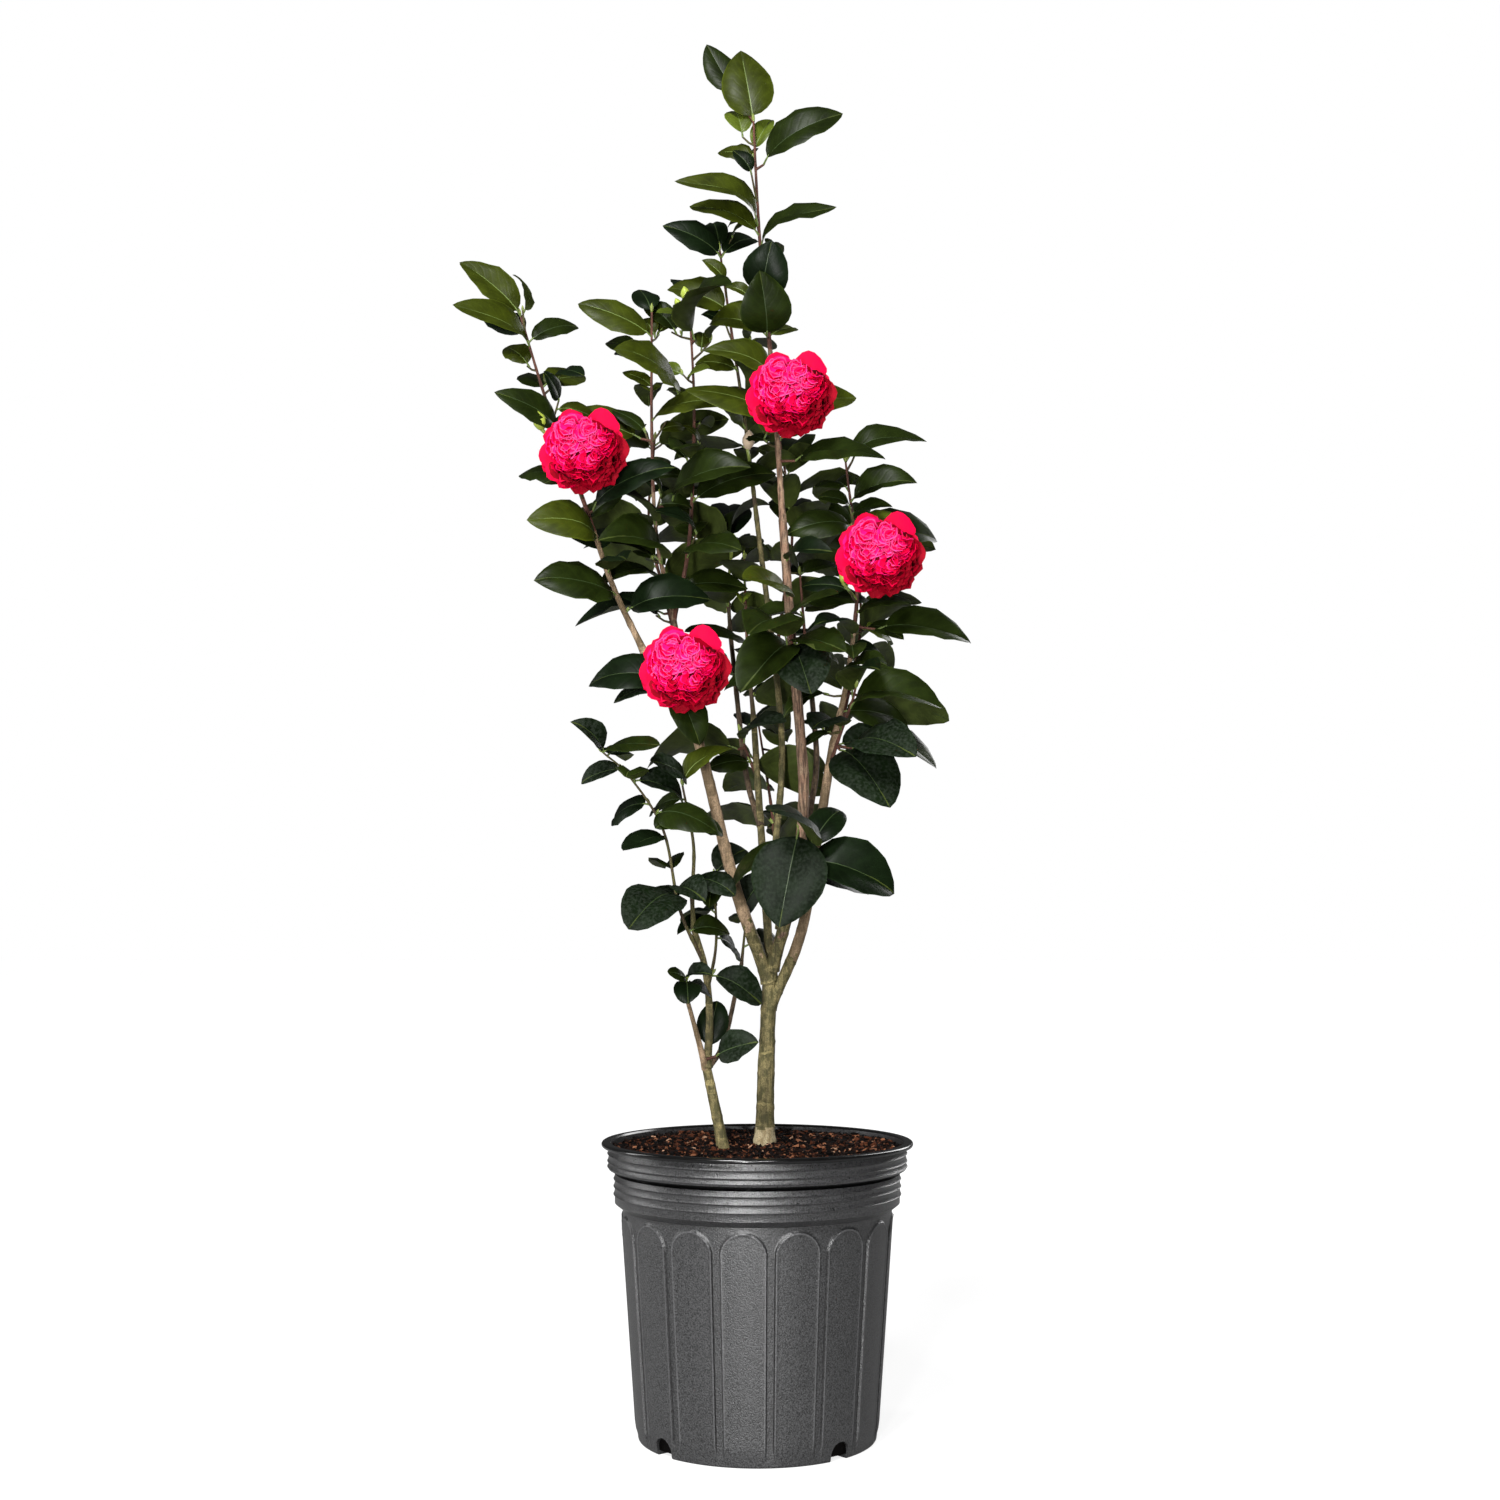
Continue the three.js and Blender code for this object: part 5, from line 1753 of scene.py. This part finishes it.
class CAMELLIA_OT_twigs(bpy.types.Operator):
    """Grow the leafy stems, the side twigs and the petioles"""

    bl_idname = "camellia.twigs"
    bl_label = "Twigs"

    def execute(self, context):
        shrub = the_shrub(context)
        twigs = Patchwork()
        add_stems(twigs, shrub)
        add_side_twigs(twigs, shrub)
        add_petioles(twigs, shrub)
        finishes = twig_finishes(context.scene.camellia_wood, context.scene.camellia_leaf)
        piece = twigs.piece("twigs", finishes, WOOD_SMOOTHING)
        hand_over(piece, "bark", *[mass.name for mass in MASSES])
        return {"FINISHED"}


# Leaves

def leaf_finishes(settings):
    """The finishes in the order of SUNLIT_FRESH to BACK."""
    return [
        leaf_finish("leaf_fresh", settings.fresh, 0.38, gloss=0.12),
        leaf_finish("leaf_mid", settings.mid, 0.37, gloss=0.10),
        leaf_finish("leaf_deep", settings.deep, 0.38, gloss=0.08),
        leaf_finish("leaf_dusty", dim(settings.deep, 0.95), 0.44, gloss=0.08, dust=0.18),
        leaf_finish("leaf_young", settings.young, 0.35, gloss=0.2),
        plain_growth_finish("midrib", settings.rib, 0.4),
        plain_growth_finish("old_midrib", settings.dull_rib, 0.4),
        leaf_finish("leaf_underside", settings.back, 0.5, gloss=0.12),
    ]


class CAMELLIA_OT_leaves(bpy.types.Operator):
    """Grow the leaves"""

    bl_idname = "camellia.leaves"
    bl_label = "Leaves"

    def execute(self, context):
        leaves = Patchwork()
        for _, mesh in the_shrub(context).leaves:
            leaves.add(*mesh)
        piece = leaves.piece("leaves", leaf_finishes(context.scene.camellia_leaf))
        bpy.ops.object.mode_set(mode="EDIT")
        bpy.ops.mesh.select_all(action="SELECT")
        bpy.ops.mesh.remove_doubles(threshold=0.000001)
        bpy.ops.object.mode_set(mode="OBJECT")
        bpy.ops.object.shade_smooth_by_angle(angle=math.radians(75))
        hand_over(piece, "foliage", *[mass.name for mass in MASSES])
        return {"FINISHED"}


# Buds

# The flower buds: the stem that bears each one, its foot, its length, its girth, its way and its
# finish.
FAT_BUDS = (
    ("foliage_bud", (-22, 56, 738), 15, 11, (0.1, -0.2, 1), 1),
    ("foliage_left", (-181, -14, 829), 15, 12, (-0.2, -0.2, 1), 1),
    ("foliage_inner_left", (-60, 8, 946), 12, 9, (-0.2, -0.3, 1), 1),
    ("foliage_inner_left", (-66, 6, 940), 8, 6, (-0.5, -0.3, 1), 1),
    ("foliage_right_high", (72, -6, 700), 11, 6, (-0.1, -0.2, 1), 1),
    ("foliage_back_high", (-8, 28, 822), 16, 11, (0.1, -0.2, 1), 2),
)
BUD_ROWS = (0.0, 0.12, 0.32, 0.55, 0.78, 1.0)
BUD_SIDES = 8
BUD_SEED = 31
BUD_STALK_RADII = (1.3, 1.6)
TIP_BUD = 8
TIP_BUD_GIRTH = 3.2
AXIL_BUDS = (4, 6.5)
AXIL_BUD_GIRTH = 0.38
AXIL_BARE_SHARE = 0.45


def add_bud(patchwork, foot, way, size, girth, finish):
    """A pointed bud on the end or the side of a shoot."""
    def radius_at(_, run):
        place = min(1, run / size * 0.86 + 0.10)
        return max(0.05, girth / 2 * math.sin(math.pi * place) ** 0.8)

    path = [foot + way * size * row for row in BUD_ROWS]
    sweep(patchwork, path, radius_at, BUD_SIDES, finish)


class CAMELLIA_OT_buds(bpy.types.Operator):
    """Set buds in the leaf axils and at the ends of the shoots"""

    bl_idname = "camellia.buds"
    bl_label = "Buds"

    def execute(self, context):
        shrub = the_shrub(context)
        buds = Patchwork()
        variety = random.Random(BUD_SEED)
        for mass in MASSES:
            curve = shrub.curves[mass.name]
            way = (curve.at(1) - curve.at(0.96)).normalized()
            add_bud(buds, curve.at(1), way, TIP_BUD * mass.size, TIP_BUD_GIRTH * mass.size, 0)
        for leaf, _ in shrub.leaves:
            if leaf.stalk or variety.random() < AXIL_BARE_SHARE:
                continue
            chord = (leaf.tip - leaf.foot).normalized()
            way = (chord * 0.6 + Vector((0, 0, 1))).normalized()
            size = variety.uniform(*AXIL_BUDS)
            add_bud(buds, leaf.foot + way * 0.8, way, size, size * AXIL_BUD_GIRTH, 0)
        for name, place, size, girth, way, finish in FAT_BUDS:
            place = Vector(place)
            foot = shrub.curves[name].at_height(place.z - size)
            stalk = [foot, foot.lerp(place, 0.5), place]
            sweep(buds, stalk, taper(BUD_STALK_RADII), BUD_SIDES, 0)
            add_bud(buds, place, Vector(way).normalized(), size, girth, finish)
        finishes = [
            plain_growth_finish("bud_scales", BUD_SCALES, 0.4),
            plain_growth_finish("flower_bud_scales", FLOWER_BUD_SCALES, 0.4),
            plain_growth_finish("withered_bud", WITHERED_BUD, 0.7),
        ]
        piece = buds.piece("buds", finishes, WOOD_SMOOTHING)
        hand_over(piece, "foliage", *[mass.name for mass in MASSES])
        return {"FINISHED"}


# Blooms

# The petals' finishes are painted light and shade on one crimson: painted highlights on the rims and lit
# petals, painted shade low in the bloom and in the hollows.
PETAL_RIM_HIGHLIGHT, PETAL_LIT, PETAL_BODY, PETAL_SHADE, PETAL_HOLLOW_SHADE = range(5)
PETAL_ACROSS = 6
PETAL_ROWS = (0.0, 0.4, 0.68, 0.88, 1.0)
PETAL_THICKNESS = 0.35
PETAL_SMOOTHING = math.radians(80)
BLOOM_RADIUS = 38.6
BLOOM_DEPTH = 25.0

# The outer petals of a bloom as seen from the front: the tip of each, its width and its ruffle.
GUARDS = (
    ((14, 37), 31, 0.2), ((-16, 35), 23, 1.2), ((-3, 31), 20, 0.8), ((-34, 17), 22, 1.0),
    ((-27, 24), 20, 1.2), ((-38.5, -4), 25, 0.4), ((-36, -13), 21, 1.2), ((-31, -22), 21, 1.4),
    ((-21, -30), 21, 1.6), ((-13, -31), 19, 1.6), ((-4.6, -36.5), 21, 1.4), ((11, -34), 22, 1.8),
    ((25, -27), 22, 1.8), ((35, -11), 23, 1.2), ((38, 2), 25, 0.5), ((31, 16), 23, 0.9),
)
BIG_GUARD = 30
GUARD_ROUNDING = 0.26
ROUNDING = 0.42

# The inner petals hang in fans: the point that each fan spreads from, its first and last heading
# in degrees, the distances of its rows from that point and the width of its petals.
FANS = (
    ((-13, 15), 140, 290, (4, 8, 12.5, 17, 21.5, 26), 13),
    ((4, 18), 205, 330, (4, 7.5, 11, 14.5, 18, 21.5, 25), 11),
    ((18, 9), 200, 400, (4, 7.5, 11, 14.5, 18), 11),
    ((-12, 15), 50, 130, (4, 7.5, 11, 14.5), 11),
    ((3, 15), 80, 150, (4, 7.5, 11), 11),
    ((10, -10), 180, 385, (4, 7.5, 11, 14.5, 18, 21.5), 10),
    ((-10, -14), 175, 300, (4, 7.5, 11, 14.5, 18), 10),
    ((-15, -3), 150, 280, (4, 7.5, 11, 14.5), 11),
)
DOME_RADIUS = 36.0
DOME_DEPTH = 21.0
DOME_EDGE = 0.93
ROW_DROP = 0.6
BLOOM_SEED = 8

# Painted light and shade on the petals: how brightly a petal is taken to be lit, by its place in the
# bloom, to have these finishes on its rows, from its foot to its rim.
PETAL_TONES = (
    (0.42, (PETAL_BODY, PETAL_LIT, PETAL_LIT, PETAL_RIM_HIGHLIGHT)),
    (0.14, (PETAL_SHADE, PETAL_BODY, PETAL_LIT, PETAL_RIM_HIGHLIGHT)),
    (-0.10, (PETAL_HOLLOW_SHADE, PETAL_BODY, PETAL_BODY, PETAL_LIT)),
    (-0.26, (PETAL_HOLLOW_SHADE, PETAL_SHADE, PETAL_BODY, PETAL_BODY)),
    (-0.45, (PETAL_HOLLOW_SHADE, PETAL_SHADE, PETAL_SHADE, PETAL_BODY)),
    (-math.inf, (PETAL_HOLLOW_SHADE, PETAL_HOLLOW_SHADE, PETAL_SHADE, PETAL_SHADE)),
)

# The dark core of a bloom, a dome in painted shade that fills the gaps between its petals, its stalk and
# the calyx behind it.
SHADE_CORE_RADIUS = 27
SHADE_CORE_SIDES = 14
STALK_DROP = 20
BLOOM_STALK_RADII = (1.9, 2.6)
BLOOM_STALK_SIDES = 8
CALYX_RADII = (3.0, 8.0)
CALYX_SIDES = 12


@dataclass
class Petal:
    foot: Vector
    out: Vector
    face: Vector
    length: float
    width: float
    cup: float
    curl: float
    ruffle: float
    phase: float
    tones: tuple
    rounding: float = ROUNDING


def petal_mesh(petal):
    """A thin cupped sheet with a curled, ruffled rim."""
    side = petal.out.cross(petal.face).normalized()
    face = side.cross(petal.out).normalized()
    corners, faces, finishes = [], [], []
    for v in PETAL_ROWS:
        for i in range(PETAL_ACROSS + 1):
            u = 2 * i / PETAL_ACROSS - 1
            spread = (0.34 + 0.66 * smooth_step(v * 1.5)) * petal.width / 2
            angle = petal.curl * v * v
            run = petal.length * v * (1 - petal.rounding * u * u * v)
            away = petal.out * (run * math.cos(angle)) - face * (run * math.sin(angle))
            cup = face * (petal.cup * u * u * spread * (0.4 + 0.6 * v))
            wobble = math.sin(u * 5.2 + petal.phase) + 0.6 * math.sin(u * 9.5 + 2 * petal.phase)
            scallop = math.cos(u * 8 + petal.phase) * v ** 3
            lift = face * (wobble * petal.ruffle * v * v) + petal.out * (scallop * petal.ruffle * 0.5)
            corners.append(petal.foot + side * (u * spread) + away + cup + lift)
    step = PETAL_ACROSS + 1
    for j in range(len(PETAL_ROWS) - 1):
        for i in range(PETAL_ACROSS):
            a = j * step + i
            faces.append((a, a + 1, a + 1 + step, a + step))
            finishes.append(petal.tones[j])
    return corners, faces, finishes


def petal_tones(x, y, stray):
    """The finishes of a petal's rows by its place in the bloom, as painted light and shade: lightest up
    and to the left.
    """
    lit = 0.80 - math.hypot(0.9 * x + 5.5, y - 8) / 30 - max(0.0, x - 0.4 * y - 8) / 90 + stray
    return next(tones for least, tones in PETAL_TONES if lit > least)


def guard_tones(x, y):
    """The outer petals have no painted highlight on their rims, and the low ones have painted shade in
    their hollows and on their rims.
    """
    if y < -8:
        rim = PETAL_SHADE if x > 0 or y < -30 else PETAL_BODY
        return PETAL_HOLLOW_SHADE, PETAL_HOLLOW_SHADE, PETAL_SHADE, rim
    tones = petal_tones(x * 0.75, y * 0.75, 0)
    return (*tones[:3], PETAL_BODY) if tones[3] < PETAL_BODY else tones


def guard_petals(variety):
    """The broad petals that ring the bloom, one of them large and smooth at the upper right."""
    petals = []
    for (x, y), wide, ruffle in GUARDS:
        big = wide > BIG_GUARD
        tip = Vector((x, y, -1 if big else variety.uniform(-7, -1)))
        foot = Vector((14, 3, -5)) if big else Vector((x * 0.2, y * 0.2, -6))
        out = (tip - foot).normalized()
        petals.append(Petal(
            foot=foot, out=out, face=Vector((0, 0, 1)), length=(tip - foot).length, width=wide,
            cup=-0.15 if big else variety.uniform(-0.2, 0.3), curl=0.0, ruffle=ruffle,
            phase=variety.uniform(0, 6), tones=guard_tones(x, y),
            rounding=ROUNDING if big else GUARD_ROUNDING))
    return petals


def fan_petal(variety, x, y, height, turn, wide):
    """An inner petal whose rim is at a place on the dome and points outwards at a turn."""
    rise = variety.uniform(0.25, 0.85)
    out = direction(turn, rise)
    face = Vector((-math.cos(turn) * math.sin(rise), -math.sin(turn) * math.sin(rise), math.cos(rise)))
    long = variety.uniform(10, 14)
    return Petal(
        foot=Vector((x, y, height)) - out * long, out=out, face=face, length=long,
        width=wide * variety.uniform(0.8, 1.15), cup=variety.uniform(0.25, 0.8),
        curl=variety.uniform(-0.5, 0.3), ruffle=variety.uniform(0.6, 1.3),
        phase=variety.uniform(0, 6), tones=petal_tones(x, y, variety.gauss(0, 0.14)))


def bloom_petals(variety):
    """The petals of one bloom that faces along the Z axis, in millimetres."""
    petals = guard_petals(variety)
    for (pole_x, pole_y), first, last, rows, wide in FANS:
        for row, distance in enumerate(rows):
            spread = math.radians(last - first)
            count = max(2, round(spread * distance / (wide * 0.5)))
            for k in range(count):
                part = (k + 0.5 + variety.uniform(-0.2, 0.2) + 0.5 * (row % 2)) / count
                turn = math.radians(first) + spread * (part % 1)
                x = pole_x + distance * math.cos(turn)
                y = pole_y + distance * math.sin(turn)
                reach = math.hypot(x, y) / DOME_RADIUS
                if reach <= DOME_EDGE:
                    height = DOME_DEPTH * math.sqrt(1 - reach * reach) - ROW_DROP * row
                    petals.append(fan_petal(variety, x, y, height, turn, wide))
    return petals


def shade_core_radius(part, _):
    """A dark dome in painted shade that closes the hollows between the petals."""
    return 0.5 + SHADE_CORE_RADIUS * math.sqrt(max(0.0, 1 - part ** 2.5))


def add_stalk(stalks, curve, centre):
    """The stalk from the stem to the back of a bloom, and the calyx there."""
    foot = curve.at_height(centre.z - STALK_DROP)
    back = centre + Vector((0, 8, -4))
    path = [foot, foot.lerp(back, 0.5) - Vector((0, 0, 2)), back]
    sweep(stalks, path, taper(BLOOM_STALK_RADII), BLOOM_STALK_SIDES, 0)
    path = [centre + Vector((0, 19 - 2 * i, -7 + i)) for i in range(5)]
    sweep(stalks, path, taper(CALYX_RADII), CALYX_SIDES, 1)


def thicken(piece, thickness):
    """Gives the petals their thickness and smooths them."""
    choose(piece)
    modifier = piece.modifiers.new("petal thickness", "SOLIDIFY")
    modifier.thickness = thickness
    modifier.offset = 0
    bpy.ops.object.modifier_apply(modifier=modifier.name)
    bpy.ops.object.shade_smooth_by_angle(angle=PETAL_SMOOTHING)


class CAMELLIA_OT_blooms(bpy.types.Operator):
    """Open the blooms"""

    bl_idname = "camellia.blooms"
    bl_label = "Blooms"

    def execute(self, context):
        settings = context.scene.camellia_bloom
        shrub = the_shrub(context)
        blooms = Patchwork()
        stalks = Patchwork()
        meshes = [petal_mesh(petal) for petal in bloom_petals(random.Random(BLOOM_SEED))]
        wide = settings.radius / MM / BLOOM_RADIUS
        thick = settings.depth / MM / BLOOM_DEPTH
        flowering = [mass for mass in MASSES if mass.bloom]
        for mass in flowering:
            centre = Vector(mass.bloom)
            for corners, faces, finishes in meshes:
                placed = [centre + Vector((corner.x * wide, -corner.z * thick, corner.y * wide))
                          for corner in corners]
                blooms.add(placed, faces, finishes)
            # A dark core in painted shade behind the petals, so that no gap shows through.
            core = [centre + Vector((0, 8 - 3 * i, 1)) for i in range(7)]
            sweep(blooms, core, shade_core_radius, SHADE_CORE_SIDES, PETAL_SHADE)
            add_stalk(stalks, shrub.curves[mass.name], centre)
        finishes = [petal_finish("petal_rim", settings.rim),
                    petal_finish("petal_lit", settings.lit),
                    petal_finish("petal_body", settings.petal),
                    petal_finish("petal_shade", settings.shade),
                    petal_finish("petal_heart", settings.heart)]
        piece = blooms.piece("blooms", finishes)
        thicken(piece, PETAL_THICKNESS * MM)
        hand_over(piece, "foliage", *[mass.name for mass in flowering])
        finishes = [plain_growth_finish("bloom_stalk", BLOOM_STALK),
                    plain_growth_finish("calyx", CALYX)]
        cups = stalks.piece("bloom_stalks", finishes, WOOD_SMOOTHING)
        hand_over(cups, "foliage", *[mass.name for mass in flowering])
        return {"FINISHED"}


# Stage

CAMERA_PLACE = (-0.006, -1.667, 0.429)
CAMERA_TILT = math.radians(94.5)
SENSOR = 36.0
FLOOR_SIZE = 30.0
SUN_FROM = Vector((-0.75, -1.7, 2.0))
SUN_SPREAD = math.radians(14)
SUN_POWER = 2.9
LIGHTS = (
    ("strip", (-0.36, -2.2, 0.40), (0.12, 0.6), 42),
    ("glint", (0.20, -2.3, 1.7), (0.5, 0.15), 26),
    ("side", (-2.2, 0.5, 1.0), (0.4, 1.8), 18),
    ("back", (1.6, 2.0, 1.6), (1.0, 1.8), 40),
)
TARGET = Vector((0, 0, 0.5))
WORLD_LIGHT = 0.06
FLOOR_GLOW = 0.785


class CAMELLIA_OT_stage(bpy.types.Operator):
    """Set up the floor, the lights and the camera"""

    bl_idname = "camellia.stage"
    bl_label = "Stage"

    def execute(self, context):
        settings = context.scene.camellia_stage
        scene = context.scene
        bpy.ops.object.select_all(action="DESELECT")
        bpy.ops.mesh.primitive_plane_add(size=FLOOR_SIZE, location=(0, 0, 0))
        floor = context.object
        floor.name = "floor"
        finish = Finish("floor", 0.9, specular=0.1)
        finish.set("Base Color", settings.floor)
        path = finish.node("ShaderNodeLightPath", output="Is Camera Ray")
        finish.set("Emission Color", finish.mix(path, (0, 0, 0), (1, 1, 1)))
        finish.set("Emission Strength", FLOOR_GLOW)
        floor.data.materials.append(finish.material)
        for name, place, (width, height), power in LIGHTS:
            bpy.ops.object.light_add(type="AREA", location=place)
            light = context.object
            light.name = name
            light.rotation_euler = (TARGET - Vector(place)).to_track_quat("-Z", "Y").to_euler()
            light.data.shape = "RECTANGLE"
            light.data.size = width
            light.data.size_y = height
            light.data.energy = power
        bpy.ops.object.light_add(type="SUN", location=SUN_FROM)
        sun = context.object
        sun.rotation_euler = SUN_FROM.to_track_quat("Z", "Y").to_euler()
        sun.data.energy = SUN_POWER
        sun.data.angle = SUN_SPREAD
        self.light_world(scene)
        bpy.ops.object.camera_add(location=CAMERA_PLACE, rotation=(CAMERA_TILT, 0, 0))
        camera = context.object
        camera.data.lens = settings.lens
        camera.data.sensor_width = SENSOR
        scene.camera = camera
        scene.view_settings.view_transform = "Standard"
        return {"FINISHED"}

    @staticmethod
    def light_world(scene):
        """A white backdrop that lights the shrub softly."""
        world = bpy.data.worlds.new("studio")
        scene.world = world
        world.use_nodes = True
        nodes, links = world.node_tree.nodes, world.node_tree.links
        background = nodes["Background"]
        background.inputs["Color"].default_value = (1, 1, 1, 1)
        path = nodes.new("ShaderNodeLightPath")
        level = nodes.new("ShaderNodeMapRange")
        level.inputs["To Min"].default_value = WORLD_LIGHT
        level.inputs["To Max"].default_value = 1.0
        links.new(path.outputs["Is Camera Ray"], level.inputs["Value"])
        links.new(level.outputs["Result"], background.inputs["Strength"])


PIECE_OPERATORS = (CAMELLIA_OT_pot, CAMELLIA_OT_potting_bark, CAMELLIA_OT_wood, CAMELLIA_OT_twigs,
                   CAMELLIA_OT_leaves, CAMELLIA_OT_buds, CAMELLIA_OT_blooms, CAMELLIA_OT_stage)
SETTINGS = {
    "camellia_pot": PotSettings,
    "camellia_bark_fill": BarkFillSettings,
    "camellia_wood": WoodSettings,
    "camellia_leaf": LeafSettings,
    "camellia_bloom": BloomSettings,
    "camellia_stage": StageSettings,
}


class CAMELLIA_PT_panel(bpy.types.Panel):
    """The shrub's pieces and their settings"""

    bl_idname = "CAMELLIA_PT_panel"
    bl_label = "Potted Camellia"
    bl_space_type = "VIEW_3D"
    bl_region_type = "UI"
    bl_category = "Camellia"

    def draw(self, context):
        for operator in PIECE_OPERATORS:
            self.layout.operator(operator.bl_idname)
        for name in SETTINGS:
            box = self.layout.box()
            settings = getattr(context.scene, name)
            for key in settings.bl_rna.properties.keys():
                if key not in ("rna_type", "name"):
                    box.prop(settings, key)


CLASSES = (*SETTINGS.values(), *PIECE_OPERATORS, CAMELLIA_PT_panel)


def register():
    for entry in CLASSES:
        bpy.utils.register_class(entry)
    for name, group in SETTINGS.items():
        setattr(bpy.types.Scene, name, PointerProperty(type=group))


def unregister():
    for name in SETTINGS:
        delattr(bpy.types.Scene, name)
    for entry in reversed(CLASSES):
        bpy.utils.unregister_class(entry)


def main():
    register()
    bpy.ops.camellia.pot()
    bpy.ops.camellia.potting_bark()
    bpy.ops.camellia.wood()
    bpy.ops.camellia.twigs()
    bpy.ops.camellia.leaves()
    bpy.ops.camellia.buds()
    bpy.ops.camellia.blooms()
    bpy.ops.camellia.stage()


if __name__ == "__main__":
    main()
